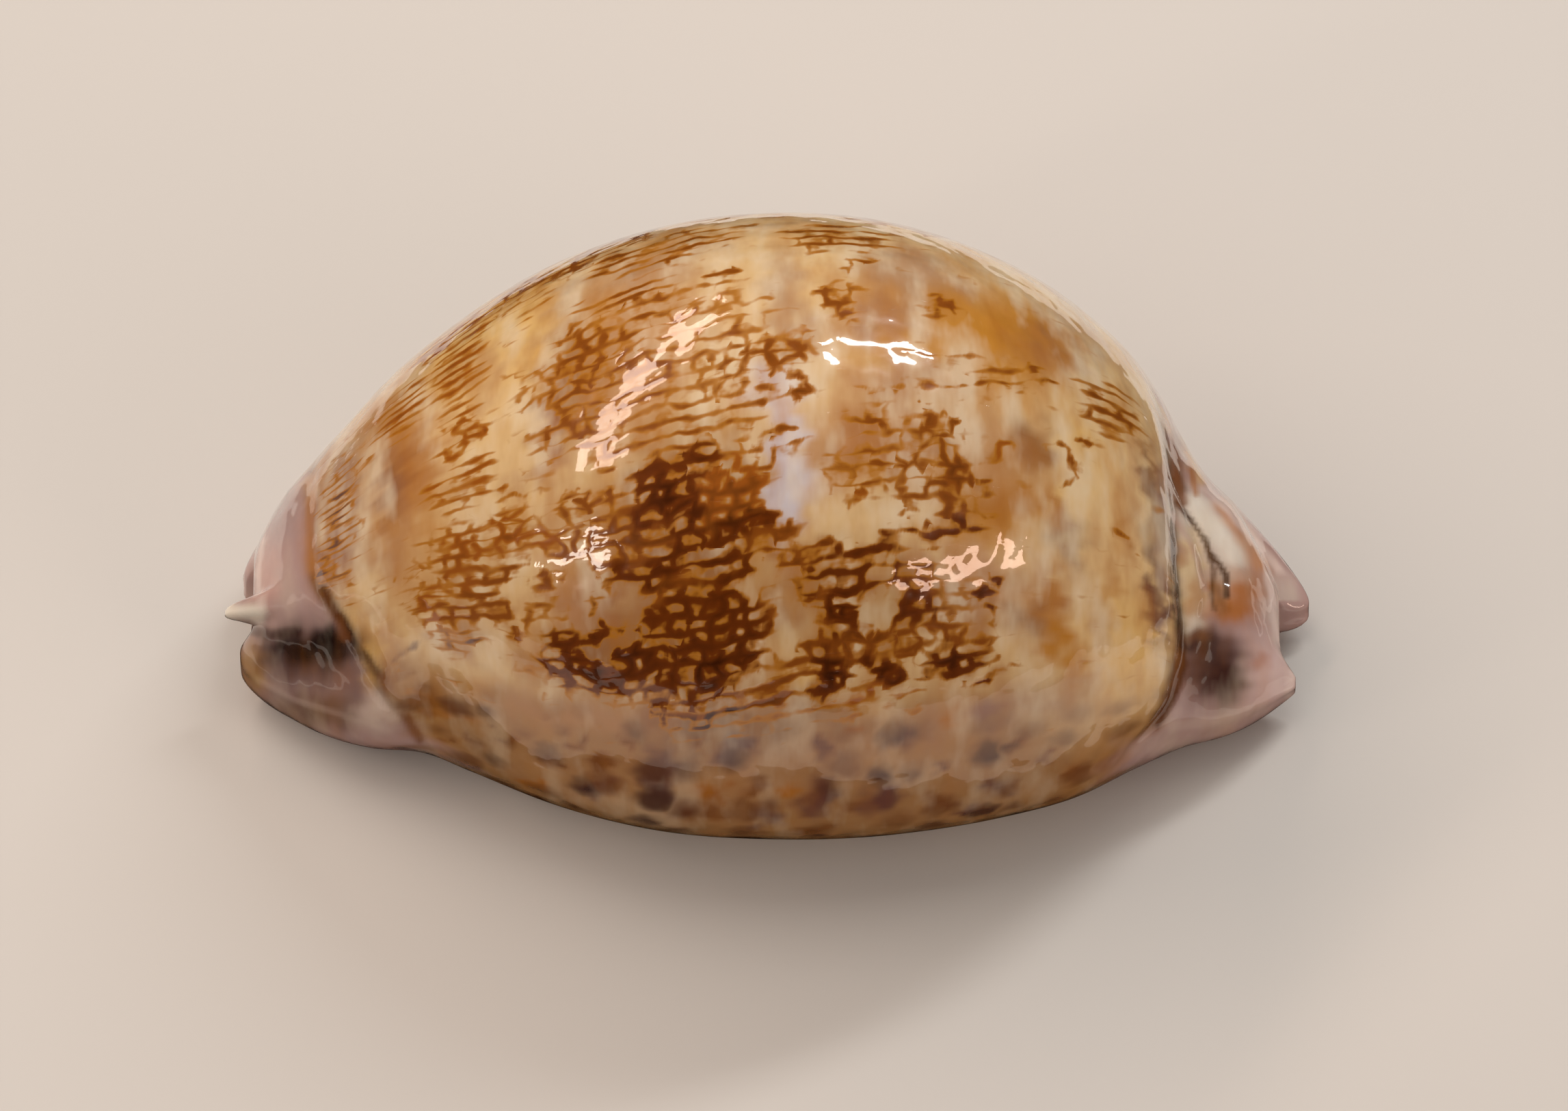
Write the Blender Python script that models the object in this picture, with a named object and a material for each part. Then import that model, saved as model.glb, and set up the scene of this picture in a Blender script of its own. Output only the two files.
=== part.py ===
"""Map cowrie shell, resting on its base with the dorsum up.

The shell is one piece. It is lofted from closed rings that run round the shell: each ring goes
from the columellar lip over the back to the outer lip, then returns up and down the walls of the
aperture. Towards each end the ring closes on its own middle line, which leaves the open notch
of the canal between two rounded lobes. Creases, hollows and the teeth are relief on the rings.

Axes: X runs along the shell, from the anterior end (-) to the posterior end (+). Y runs across it,
from the columellar side (-) to the side of the outer lip (+). Z is up, and the base rests on z = 0.
A share w says where a point is on a ring: 0 at the columellar lip, 0.5 on the crest of the back
and 1 at the outer lip.
"""

import math

import bmesh
import bpy
import numpy as np

MM = 0.001

# Length of the finished shell in millimetres. The drawing made by the guides is scaled to it.
LENGTH = 75.0

# Rings along the shell and points round one side of a ring, before the mesh is thinned, and how
# strongly those points crowd towards the lips.
RINGS_BETWEEN_CAPS = 181
RINGS_PER_CAP = 10
POINTS_PER_SIDE = 60
CROWDING = 0.6
MOST_TRIANGLES = 9000

# Guides: (station along X, value), read smoothly in between. All in millimetres.
COLUMELLAR_MARGIN = (
    (-36.5, 5.0), (-34.2, 6.6), (-31.0, 9.1), (-27.5, 11.0), (-23.6, 12.2), (-20.5, 14.2),
    (-15.0, 17.5), (-8.0, 20.2), (1.0, 21.2), (9.0, 20.7), (16.0, 18.9), (22.0, 16.1),
    (26.0, 12.9), (29.0, 10.6), (32.0, 9.1), (34.5, 7.4), (37.0, 5.2),
)
LABRAL_MARGIN = (
    (-36.5, 5.4), (-34.2, 8.0), (-31.0, 11.3), (-27.0, 14.2), (-22.5, 16.6), (-16.0, 19.5),
    (-8.0, 21.4), (1.0, 22.3), (9.0, 21.9), (16.0, 20.6), (22.0, 18.7), (26.0, 16.6),
    (28.5, 14.0), (30.5, 11.0), (33.0, 8.8), (35.5, 6.2), (37.5, 3.8),
)
CREST_HEIGHT = (
    (-37.0, 9.9), (-34.5, 12.5), (-32.5, 15.0), (-30.0, 18.0), (-26.0, 23.0), (-21.0, 28.0),
    (-15.0, 32.7), (-8.0, 36.3), (1.0, 37.8), (8.0, 36.9), (14.0, 34.3), (19.0, 30.7),
    (23.0, 26.3), (26.0, 22.0), (27.6, 18.9), (28.8, 15.9), (30.5, 13.3), (33.0, 10.4),
    (35.0, 7.9), (37.0, 5.6),
)
CREST_OFFSET = (
    (-37.0, 1.0), (-31.0, 0.8), (-20.0, 0.4), (0.0, 0.0), (20.0, 0.6), (28.0, 1.2), (33.0, 1.6),
    (37.0, 1.0),
)
MARGIN_HEIGHT = (
    (-37.0, 3.6), (-34.0, 3.9), (-30.0, 5.4), (-24.0, 8.6), (-12.0, 11.2), (2.0, 11.8),
    (14.0, 11.0), (24.0, 8.2), (30.0, 5.2), (34.0, 3.8), (37.0, 2.8),
)
BASE_RISE = (
    (-37.0, 1.2), (-33.0, 0.65), (-24.0, 0.1), (-12.0, -0.25), (10.0, -0.25), (22.0, 0.05),
    (31.0, 0.7), (37.0, 1.1),
)
APERTURE_CENTRE = (
    (-37.0, 0.4), (-30.0, 1.6), (-18.0, 2.8), (0.0, 3.2), (14.0, 2.9), (22.0, 2.0),
    (28.0, 0.5), (33.0, -0.9), (37.0, -1.9),
)
APERTURE_HALF_GAP = (
    (-37.0, 1.7), (-33.0, 1.9), (-28.0, 2.3), (-16.0, 2.2), (0.0, 1.9), (16.0, 1.7),
    (26.0, 1.8), (32.0, 2.0), (37.0, 1.9),
)
CANAL_FLARE = (
    (-37.0, 0.3), (-33.0, 0.4), (-24.0, 0.9), (0.0, 1.2), (22.0, 0.9), (31.0, 0.5), (37.0, 0.5),
)
CANAL_ROOF = (
    (-37.0, 7.0), (-34.0, 8.6), (-30.0, 10.8), (-22.0, 13.0), (0.0, 14.0), (20.0, 12.6),
    (28.0, 8.6), (33.0, 6.4), (37.0, 3.8),
)

# How full each quarter of the outer section is: 2 is an ellipse, and more is squarer.
BASE_FULLNESS = 2.5
BACK_FULLNESS = 2.05
LIP_RADIUS = 1.1

# Share of a ring at which the base turns into the flank, counted from either lip.
TURN = 0.2

# Shares of the aperture's side at which the rounded lip ends and the wall meets the roof.
ARC_END = 0.1
WALL_END = 0.34

# Creases across the back: (share w, station).
POSTERIOR_CREASE = (
    (0.10, 20.5), (0.19, 24.4), (0.234, 27.2), (0.293, 28.4), (0.356, 28.9), (0.42, 28.3),
    (0.51, 28.1), (0.6, 27.4), (0.7, 26.2), (0.8, 24.2), (0.9, 21.0),
)
SPIRE_CREASE = (
    (0.36, 30.2), (0.405, 30.5), (0.465, 30.3), (0.506, 29.4), (0.53, 28.4), (0.56, 27.8),
)
ANTERIOR_CREASE = (
    (0.1, -19.0), (0.166, -22.9), (0.236, -26.2), (0.282, -27.6), (0.326, -29.0), (0.36, -30.2),
    (0.394, -31.1), (0.47, -31.4), (0.57, -31.6), (0.7, -31.0), (0.85, -28.0),
)

# Each crease: how deep it is, its half width, and how far the surface drops beyond it.
POSTERIOR_CREASE_DEPTH = 0.55
POSTERIOR_CREASE_WIDTH = 0.45
SPIRE_CREASE_DEPTH = 0.45
ANTERIOR_CREASE_DEPTH = 0.35
FINE_CREASE_WIDTH = 0.4
STEP_BEYOND_CREASE = 0.3

# Rounded hollows: (station, half length, share w, half width in w, depth). In turn the pocket
# that holds the spire, the near flanks of the two ends and their far flanks.
HOLLOWS = (
    (31.4, 1.0, 0.452, 0.026, 1.0),
    (31.9, 2.3, 0.325, 0.055, 1.5),
    (-31.4, 3.6, 0.305, 0.055, 1.7),
    (30.8, 2.2, 0.74, 0.06, 0.6),
    (-31.0, 3.4, 0.7, 0.06, 0.7),
)

# Ridges that run out to the ends: (share w, half width in w, where one starts along X, where it
# has its full height, that height). In turn the outer lip behind the spire and the two flanges.
RIDGES = (
    (0.563, 0.05, 28.4, 31.0, 0.7),
    (0.235, 0.028, -23.0, -27.0, 0.35),
    (0.23, 0.028, 26.0, 30.0, 0.3),
)

# Teeth along both lips: how many, the stations they run between and how deep the gaps are.
TEETH = 36
TEETH_START = -30.5
TEETH_END = 29.5
TOOTH_GAP_DEPTH = 0.45

# Shares of a ring over which the gaps between the teeth run out onto the base and up the walls.
TEETH_ON_BASE = 0.018
TEETH_ON_WALLS = 0.2

# Stations at which the rings start to close, and the ends of the canals' rims.
ANTERIOR_CAP_START = -33.4
POSTERIOR_CAP_START = 32.6
ANTERIOR_RIM = -35.7
POSTERIOR_RIM = 35.0

# How far the lobes beside each canal, and the tip of the columella, reach past those rims.
ANTERIOR_LOBES = 1.0
POSTERIOR_NEAR_LOBE = 2.0
POSTERIOR_FAR_LOBE = 3.1
COLUMELLA_TIP = 0.385
COLUMELLA_TIP_WIDTH = 0.019
COLUMELLA_TIP_REACH = 2.0

ENAMEL_COLOUR = (0.56, 0.36, 0.19, 1.0)
ENAMEL_ROUGHNESS = 0.15


def through(points, x):
    """A smooth curve through the guide's points, at the stations x."""
    at, value = (np.array(column, float) for column in zip(*points))
    slope = np.gradient(value, at)
    x = np.clip(x, at[0], at[-1])
    i = np.clip(np.searchsorted(at, x) - 1, 0, len(at) - 2)
    span = at[i + 1] - at[i]
    t = (x - at[i]) / span
    return (
        value[i] * (1 + 2 * t) * (1 - t) ** 2
        + span * slope[i] * t * (1 - t) ** 2
        + value[i + 1] * t * t * (3 - 2 * t)
        - span * slope[i + 1] * t * t * (1 - t)
    )


def bump(value, centre, width):
    """A smooth hump of height 1 at the centre."""
    return np.exp(-(((value - centre) / width) ** 2))


def ramp(value, start, end):
    """0 before the start and 1 after the end, smooth in between."""
    t = np.clip((value - start) / (end - start), 0, 1)
    return t * t * (3 - 2 * t)


def outer_side(x, w):
    """Y and Z of the plain outer surface at station x and share w."""
    crest_y, crest_z = through(CREST_OFFSET, x), through(CREST_HEIGHT, x)
    margin_z, base_z = through(MARGIN_HEIGHT, x), through(BASE_RISE, x)
    centre, half_gap = through(APERTURE_CENTRE, x), through(APERTURE_HALF_GAP, x)
    near = w < 0.5
    side = np.where(near, -1.0, 1.0)
    margin_y = side * np.where(near, through(COLUMELLAR_MARGIN, x), through(LABRAL_MARGIN, x))
    lip_y = centre + side * (half_gap + LIP_RADIUS)
    from_lip = np.where(near, w, 1 - w)
    on_base = from_lip < TURN
    angle = np.where(on_base, from_lip / TURN, (from_lip - TURN) / (0.5 - TURN)) * math.pi / 2
    outwards = np.where(on_base, np.sin(angle), np.cos(angle))
    upright = np.where(on_base, np.cos(angle), np.sin(angle))
    power = 2 / np.where(on_base, BASE_FULLNESS, BACK_FULLNESS)
    from_y = np.where(on_base, lip_y, crest_y)
    to_z = np.where(on_base, base_z, crest_z)
    y = from_y + (margin_y - from_y) * np.abs(outwards) ** power
    z = margin_z + (to_z - margin_z) * np.abs(upright) ** power
    return y, z


def inner_side(x, w):
    """Y and Z of the aperture's walls and roof at station x and share w."""
    base_z, roof_z = through(BASE_RISE, x), through(CANAL_ROOF, x)
    centre, half_gap = through(APERTURE_CENTRE, x), through(APERTURE_HALF_GAP, x)
    flare = through(CANAL_FLARE, x)
    side = np.where(w < 0.5, -1.0, 1.0)
    from_lip = np.where(w < 0.5, w, 1 - w)
    roof_drop = 0.35 * (roof_z - base_z)
    arc = np.clip(from_lip / ARC_END, 0, 1) * math.pi / 2
    wall = np.clip((from_lip - ARC_END) / (WALL_END - ARC_END), 0, 1)
    roof = np.clip((from_lip - WALL_END) / (0.5 - WALL_END), 0, 1) * math.pi / 2
    half_width = half_gap + flare * wall * wall * (3 - 2 * wall)
    lip_out = half_gap + LIP_RADIUS * (1 - np.sin(arc))
    out = np.where(from_lip < ARC_END, lip_out, half_width * np.cos(roof))
    lip_up = LIP_RADIUS * (1 - np.cos(arc))
    wall_height = roof_z - roof_drop - base_z - LIP_RADIUS
    return centre + side * out, base_z + lip_up + wall * wall_height + roof_drop * np.sin(roof)


def crease(x, w, guide, depth, width):
    """A groove along the guide."""
    return -depth * bump(x, through(guide, w), width)


def outer_relief(x, w):
    """Height of the creases, hollows and ridges above the plain outer surface."""
    past_posterior = x - through(POSTERIOR_CREASE, w)
    past_anterior = through(ANTERIOR_CREASE, w) - x
    step = ramp(past_posterior, -0.3, 0.5) + ramp(past_anterior, -0.3, 0.5)
    relief = crease(x, w, POSTERIOR_CREASE, POSTERIOR_CREASE_DEPTH, POSTERIOR_CREASE_WIDTH)
    relief += crease(x, w, ANTERIOR_CREASE, ANTERIOR_CREASE_DEPTH, FINE_CREASE_WIDTH)
    relief -= STEP_BEYOND_CREASE * step
    # Both creases fade out down the flanks.
    relief *= ramp(w, 0.17, 0.25) * (1 - ramp(w, 0.54, 0.68))
    # The layered strip beside the spire ends in a crease of its own.
    beside_spire = ramp(w, 0.36, 0.39) * (1 - ramp(w, 0.52, 0.55))
    relief += beside_spire * crease(x, w, SPIRE_CREASE, SPIRE_CREASE_DEPTH, FINE_CREASE_WIDTH)
    for station, half_length, share, half_width, depth in HOLLOWS:
        relief -= depth * bump(x, station, half_length) * bump(w, share, half_width)
    for share, half_width, start, full, height in RIDGES:
        outwards = math.copysign(1, start)
        rise = ramp(outwards * x, outwards * start, outwards * full)
        relief += height * bump(w, share, half_width) * rise
    return relief


def tooth_gaps(x, from_lip, reach):
    """Gaps between the teeth, fading out at the share reach from the lip."""
    along = (x - TEETH_START) / (TEETH_END - TEETH_START)
    gap = 0.5 - 0.5 * np.cos(2 * math.pi * TEETH * along)
    ends = ramp(along, -0.01, 0.03) * (1 - ramp(along, 0.97, 1.01))
    return -TOOTH_GAP_DEPTH * gap * ends * (1 - ramp(from_lip, 0.5 * reach, reach))


def anterior_reach(w):
    """Where the anterior end stops at share w: two lobes, and the pointed tip of the columella."""
    near_lobe = ramp(w, 0.04, 0.14) * (1 - ramp(w, 0.25, 0.36))
    far_lobe = ramp(w, 0.66, 0.8) * (1 - ramp(w, 0.88, 0.97))
    tip = bump(w, COLUMELLA_TIP, COLUMELLA_TIP_WIDTH)
    return ANTERIOR_RIM - ANTERIOR_LOBES * (near_lobe + far_lobe) - COLUMELLA_TIP_REACH * tip


def posterior_reach(w):
    """Where the posterior end stops at share w: a short lobe near and a long one on the far side."""
    near_lobe = ramp(w, 0.05, 0.16) * (1 - ramp(w, 0.28, 0.43))
    far_lobe = ramp(w, 0.62, 0.86) * (1 - ramp(w, 0.95, 1.0))
    return POSTERIOR_RIM + POSTERIOR_NEAR_LOBE * near_lobe + POSTERIOR_FAR_LOBE * far_lobe


def ring_shares(count):
    """Places round a ring's side, closer together near the two lips."""
    even = np.linspace(0, 1, count)
    return even - CROWDING * np.sin(2 * math.pi * even) / (2 * math.pi)


def section_normals(sides):
    """Directions in the section plane that point out of the shell, one for each point of a side."""
    along = np.gradient(sides, axis=1)
    outwards = np.stack([-along[..., 1], along[..., 0]], axis=-1)
    return outwards / np.linalg.norm(outwards, axis=-1, keepdims=True)


def shell_grid():
    """Points of every ring, first round its outer side and then back along the aperture."""
    w = ring_shares(POINTS_PER_SIDE)
    from_lip = np.minimum(w, 1 - w)
    body = np.linspace(ANTERIOR_CAP_START, POSTERIOR_CAP_START, RINGS_BETWEEN_CAPS)
    closing = np.sin(np.linspace(0, math.pi / 2, RINGS_PER_CAP + 1))[1:]
    front = ANTERIOR_CAP_START + np.outer(closing, anterior_reach(w) - ANTERIOR_CAP_START)
    back = POSTERIOR_CAP_START + np.outer(closing, posterior_reach(w) - POSTERIOR_CAP_START)
    middle = np.repeat(body[:, None], len(w), axis=1)
    x = np.concatenate([front[::-1], middle, back])
    shut = np.concatenate([closing[::-1], np.zeros(len(body)), closing])[:, None, None]
    # The section changes little in a cap, so one station serves a whole ring there.
    station = np.repeat(x.mean(axis=1)[:, None], len(w), axis=1)
    w = np.repeat(w[None], len(x), axis=0)
    from_lip = np.repeat(from_lip[None], len(x), axis=0)

    outer = np.stack(outer_side(station, w), axis=-1)
    inner = np.stack(inner_side(station, w), axis=-1)
    relief = outer_relief(x, w) + tooth_gaps(x, from_lip, TEETH_ON_BASE)
    gaps = tooth_gaps(x, from_lip, TEETH_ON_WALLS)
    outer += section_normals(outer) * relief[..., None]
    inner -= section_normals(inner) * gaps[..., None]
    middle_line = (outer + inner) / 2
    keep = np.sqrt(1 - shut * shut)
    outer = middle_line + (outer - middle_line) * keep
    inner = middle_line + (inner - middle_line) * keep
    sides = np.concatenate([outer, inner[:, -2:0:-1]], axis=1)
    return np.concatenate([np.concatenate([x, x[:, -2:0:-1]], axis=1)[..., None], sides], axis=-1)


def lofted(name, grid):
    """A closed mesh object through the rings of the grid."""
    shape = bmesh.new()
    loops = [[shape.verts.new(point * MM) for point in ring_points] for ring_points in grid]
    for first, second in zip(loops, loops[1:]):
        for i in range(len(first)):
            j = (i + 1) % len(first)
            shape.faces.new((first[i], first[j], second[j], second[i]))
    bmesh.ops.remove_doubles(shape, verts=shape.verts, dist=1e-6)
    bmesh.ops.triangulate(shape, faces=shape.faces)
    bmesh.ops.recalc_face_normals(shape, faces=shape.faces)
    mesh = bpy.data.meshes.new(name)
    shape.to_mesh(mesh)
    shape.free()
    obj = bpy.data.objects.new(name, mesh)
    bpy.context.scene.collection.objects.link(obj)
    return obj


def enamel():
    """The glossy enamel that covers the shell, in the mean colour of its markings."""
    material = bpy.data.materials.new("shell enamel")
    material.use_nodes = True
    shader = material.node_tree.nodes["Principled BSDF"]
    shader.inputs["Base Color"].default_value = ENAMEL_COLOUR
    shader.inputs["Roughness"].default_value = ENAMEL_ROUGHNESS
    shader.inputs["Metallic"].default_value = 0.0
    return material


def ground():
    """A hidden block under z = 0: cutting with it leaves the flat spots that the shell rests on."""
    bpy.ops.mesh.primitive_cube_add(size=1.0, location=(0, 0, -5 * MM))
    block = bpy.context.object
    block.name = "ground"
    block.scale = (2 * LENGTH * MM, 2 * LENGTH * MM, 10 * MM)
    block.hide_render = True
    block.display_type = "WIRE"
    return block


def main():
    for obj in list(bpy.data.objects):
        bpy.data.objects.remove(obj)
    grid = shell_grid()
    low, high = grid.min(axis=(0, 1)), grid.max(axis=(0, 1))
    grid[..., :2] -= (low + high)[:2] / 2
    grid *= LENGTH / (high - low)[0]
    shell = lofted("shell", grid)
    shell.data.materials.append(enamel())
    thin = shell.modifiers.new("thin", "DECIMATE")
    thin.ratio = MOST_TRIANGLES / len(shell.data.polygons)
    rest = shell.modifiers.new("rest", "BOOLEAN")
    rest.operation = "DIFFERENCE"
    rest.solver = "EXACT"
    rest.object = ground()


main()
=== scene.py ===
import math

import bmesh
import bpy
import numpy as np
from mathutils import Matrix, Vector


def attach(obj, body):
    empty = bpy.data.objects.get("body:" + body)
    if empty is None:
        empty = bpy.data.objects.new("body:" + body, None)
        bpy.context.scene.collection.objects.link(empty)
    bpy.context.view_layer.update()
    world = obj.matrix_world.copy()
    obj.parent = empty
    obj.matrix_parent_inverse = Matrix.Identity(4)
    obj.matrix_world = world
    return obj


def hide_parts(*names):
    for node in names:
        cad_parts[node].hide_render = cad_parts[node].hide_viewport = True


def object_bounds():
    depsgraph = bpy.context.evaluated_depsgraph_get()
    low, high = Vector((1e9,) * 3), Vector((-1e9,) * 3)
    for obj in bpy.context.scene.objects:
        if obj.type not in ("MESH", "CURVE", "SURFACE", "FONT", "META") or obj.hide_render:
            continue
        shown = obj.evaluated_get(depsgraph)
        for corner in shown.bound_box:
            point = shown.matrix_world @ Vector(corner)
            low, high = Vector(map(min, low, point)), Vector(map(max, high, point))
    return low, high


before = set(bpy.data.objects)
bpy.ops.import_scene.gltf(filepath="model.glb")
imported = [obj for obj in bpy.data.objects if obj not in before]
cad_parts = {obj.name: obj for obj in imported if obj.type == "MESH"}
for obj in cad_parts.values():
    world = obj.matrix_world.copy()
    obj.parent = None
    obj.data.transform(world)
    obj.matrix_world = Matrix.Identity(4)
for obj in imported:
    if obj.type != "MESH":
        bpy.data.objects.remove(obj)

cad_low, cad_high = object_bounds()

# ---------------------------------------------------------------------------------------------
# The shell
# One piece of aragonite, grown by the animal and glazed over by its mantle, so nothing is fixed
# to it. The rings below run round it: up the outside from the lip on the columellar side (share
# w = 0) over the back (w = 0.5) to the outer lip (w = 1), and back along the slot underneath.
# ---------------------------------------------------------------------------------------------

MM = 0.001
LENGTH = 75.0

RINGS_BETWEEN_CAPS = 290
RINGS_PER_CAP = 12
OUTER_POINTS = 261
INNER_EVERY = 6
CROWDING = 0.25

# Guides: (station along X, value), read smoothly in between. All in millimetres.
COLUMELLAR_MARGIN = (
    (-36.5, 5.0), (-34.2, 6.6), (-31.0, 9.1), (-27.5, 11.0), (-23.6, 12.2), (-20.5, 14.2),
    (-15.0, 17.5), (-8.0, 20.2), (1.0, 21.2), (9.0, 20.7), (16.0, 18.9), (22.0, 16.1),
    (26.0, 12.9), (29.0, 10.6), (32.0, 9.1), (34.5, 7.4), (37.0, 5.2),
)
LABRAL_MARGIN = (
    (-36.5, 5.4), (-34.2, 8.0), (-31.0, 11.3), (-27.0, 14.2), (-22.5, 16.6), (-16.0, 19.5),
    (-8.0, 21.4), (1.0, 22.3), (9.0, 21.9), (16.0, 20.6), (22.0, 18.7), (26.0, 16.6),
    (28.5, 14.0), (30.5, 11.0), (33.0, 8.8), (35.5, 6.2), (37.5, 3.8),
)
CREST_HEIGHT = (
    (-37.0, 9.9), (-34.5, 12.5), (-32.5, 15.0), (-30.0, 18.0), (-26.0, 23.0), (-21.0, 28.0),
    (-15.0, 32.7), (-8.0, 36.3), (1.0, 37.8), (8.0, 36.9), (14.0, 34.3), (19.0, 30.7),
    (23.0, 26.3), (26.0, 22.0), (27.6, 18.9), (28.8, 15.9), (30.5, 13.3), (33.0, 10.4),
    (35.0, 7.9), (37.0, 5.6),
)
CREST_OFFSET = (
    (-37.0, 1.0), (-31.0, 0.8), (-20.0, 0.4), (0.0, 0.0), (20.0, 0.6), (28.0, 1.2), (33.0, 1.6),
    (37.0, 1.0),
)
MARGIN_HEIGHT = (
    (-37.0, 3.6), (-34.0, 3.9), (-30.0, 5.4), (-24.0, 8.6), (-12.0, 11.2), (2.0, 11.8),
    (14.0, 11.0), (24.0, 8.2), (30.0, 5.2), (34.0, 3.8), (37.0, 2.8),
)
BASE_RISE = (
    (-37.0, 1.2), (-33.0, 0.65), (-24.0, 0.1), (-12.0, -0.25), (10.0, -0.25), (22.0, 0.05),
    (31.0, 0.7), (37.0, 1.1),
)
APERTURE_CENTRE = (
    (-37.0, 0.4), (-30.0, 1.6), (-18.0, 2.8), (0.0, 3.2), (14.0, 2.9), (22.0, 2.0),
    (28.0, 0.5), (33.0, -0.9), (37.0, -1.9),
)
APERTURE_HALF_GAP = (
    (-37.0, 1.7), (-33.0, 1.9), (-28.0, 2.3), (-16.0, 2.2), (0.0, 1.9), (16.0, 1.7),
    (26.0, 1.8), (32.0, 2.0), (37.0, 1.9),
)
CANAL_FLARE = (
    (-37.0, 0.3), (-33.0, 0.4), (-24.0, 0.9), (0.0, 1.2), (22.0, 0.9), (31.0, 0.5), (37.0, 0.5),
)
CANAL_ROOF = (
    (-37.0, 7.0), (-34.0, 8.6), (-30.0, 10.8), (-22.0, 13.0), (0.0, 14.0), (20.0, 12.6),
    (28.0, 8.6), (33.0, 6.4), (37.0, 3.8),
)

# How full each quarter of the outer section is: 2 is an ellipse, and more is squarer.
BASE_FULLNESS = 2.5
BACK_FULLNESS = 2.05
LIP_RADIUS = 1.1

# Share of a ring at which the base turns into the flank, counted from either lip, and those at
# which the rounded lip ends and the wall of the slot meets its roof.
TURN = 0.2
ARC_END = 0.1
WALL_END = 0.34

# How much of the slot's height its rounded roof takes.
ROOF_ARCH = 0.35

# Creases across the back: (share w, station).
POSTERIOR_CREASE = (
    (0.10, 20.5), (0.19, 24.4), (0.234, 27.2), (0.293, 28.4), (0.356, 28.9), (0.42, 28.3),
    (0.51, 28.1), (0.6, 27.4), (0.7, 26.2), (0.8, 24.2), (0.9, 21.0),
)
SPIRE_CREASE = (
    (0.36, 30.2), (0.405, 30.5), (0.465, 30.3), (0.506, 29.4), (0.53, 28.4), (0.56, 27.8),
)
ANTERIOR_CREASE = (
    (0.1, -19.0), (0.166, -22.9), (0.236, -26.2), (0.282, -27.6), (0.326, -29.0), (0.36, -30.2),
    (0.394, -31.1), (0.47, -31.4), (0.57, -31.6), (0.7, -31.0), (0.85, -28.0),
)

# Each crease: how deep it is, its half width, and how far the surface drops beyond it, between
# STEP_START and STEP_END past the crease.
POSTERIOR_CREASE_DEPTH = 0.55
POSTERIOR_CREASE_WIDTH = 0.45
SPIRE_CREASE_DEPTH = 0.45
ANTERIOR_CREASE_DEPTH = 0.24
FINE_CREASE_WIDTH = 0.5
STEP_BEYOND_CREASE = 0.2
STEP_START, STEP_END = -0.3, 0.5

# Shares w between which the creases fade in and out, and those of the strip beside the spire.
CREASED = (0.17, 0.25, 0.54, 0.68)
SPIRE_STRIP = (0.36, 0.39, 0.52, 0.55)

# Rounded hollows: (station, half length, share w, half width in w, depth). In turn the pocket
# that holds the spire, the near flanks of the two ends and their far flanks.
HOLLOWS = (
    (31.4, 1.0, 0.452, 0.026, 1.0),
    (31.9, 2.3, 0.325, 0.055, 1.0),
    (-31.4, 3.6, 0.305, 0.055, 1.7),
    (30.8, 2.2, 0.74, 0.06, 0.6),
    (-31.0, 3.4, 0.7, 0.06, 0.7),
)

# Ridges that run out to the ends: (share w, half width in w, where one starts along X, where it
# has its full height, that height). In turn the outer lip behind the spire and the two flanges.
RIDGES = (
    (0.563, 0.05, 28.4, 31.0, 0.7),
    (0.235, 0.028, -23.0, -27.0, 0.35),
    (0.23, 0.028, 26.0, 30.0, 0.3),
)

# Teeth along both lips: how many, the stations they run between, how deep the gaps are, the
# shares of a ring over which the gaps run out onto the base and up the walls, and the shares of
# the toothed length between which they grow in and out.
TEETH = 36
TEETH_START = -30.5
TEETH_END = 29.5
TOOTH_GAP_DEPTH = 0.45
TEETH_ON_BASE = 0.018
TEETH_ON_WALLS = 0.2
TEETH_GROWN = (-0.01, 0.03, 0.97, 1.01)

# Stations at which the rings start to close, the rims of the canals, how far the lobes beside
# each canal and the tip of the columella reach past them, and the shares w that each lobe takes.
ANTERIOR_CAP_START = -33.4
POSTERIOR_CAP_START = 32.6
ANTERIOR_RIM = -35.7
POSTERIOR_RIM = 35.9
ANTERIOR_LOBE_REACH = 1.0
POSTERIOR_LOBE_REACH = (1.1, 2.2)
ANTERIOR_LOBES = ((0.04, 0.14, 0.25, 0.36), (0.66, 0.8, 0.88, 0.97))
POSTERIOR_LOBES = ((0.02, 0.15, 0.29, 0.43), (0.6, 0.76, 0.88, 1.02))
COLUMELLA_TIP = 0.385
COLUMELLA_TIP_WIDTH = 0.024
COLUMELLA_TIP_REACH = 2.0


def through(points, x):
    """A smooth curve through the guide's points, at the stations x."""
    at, value = (np.array(column, float) for column in zip(*points))
    slope = np.gradient(value, at)
    x = np.clip(x, at[0], at[-1])
    i = np.clip(np.searchsorted(at, x) - 1, 0, len(at) - 2)
    span = at[i + 1] - at[i]
    t = (x - at[i]) / span
    return (
        value[i] * (1 + 2 * t) * (1 - t) ** 2
        + span * slope[i] * t * (1 - t) ** 2
        + value[i + 1] * t * t * (3 - 2 * t)
        - span * slope[i + 1] * t * t * (1 - t)
    )


def bump(value, centre, width):
    """A smooth hump of height 1 at the centre."""
    return np.exp(-(((value - centre) / width) ** 2))


def ramp(value, start, end):
    """0 before the start and 1 after the end, smooth in between."""
    t = np.clip((value - start) / (end - start), 0, 1)
    return t * t * (3 - 2 * t)


def window(value, start, full, fading, end):
    """0 outside the start and the end, and 1 from full to fading, smooth in between."""
    return ramp(value, start, full) * (1 - ramp(value, fading, end))


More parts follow.
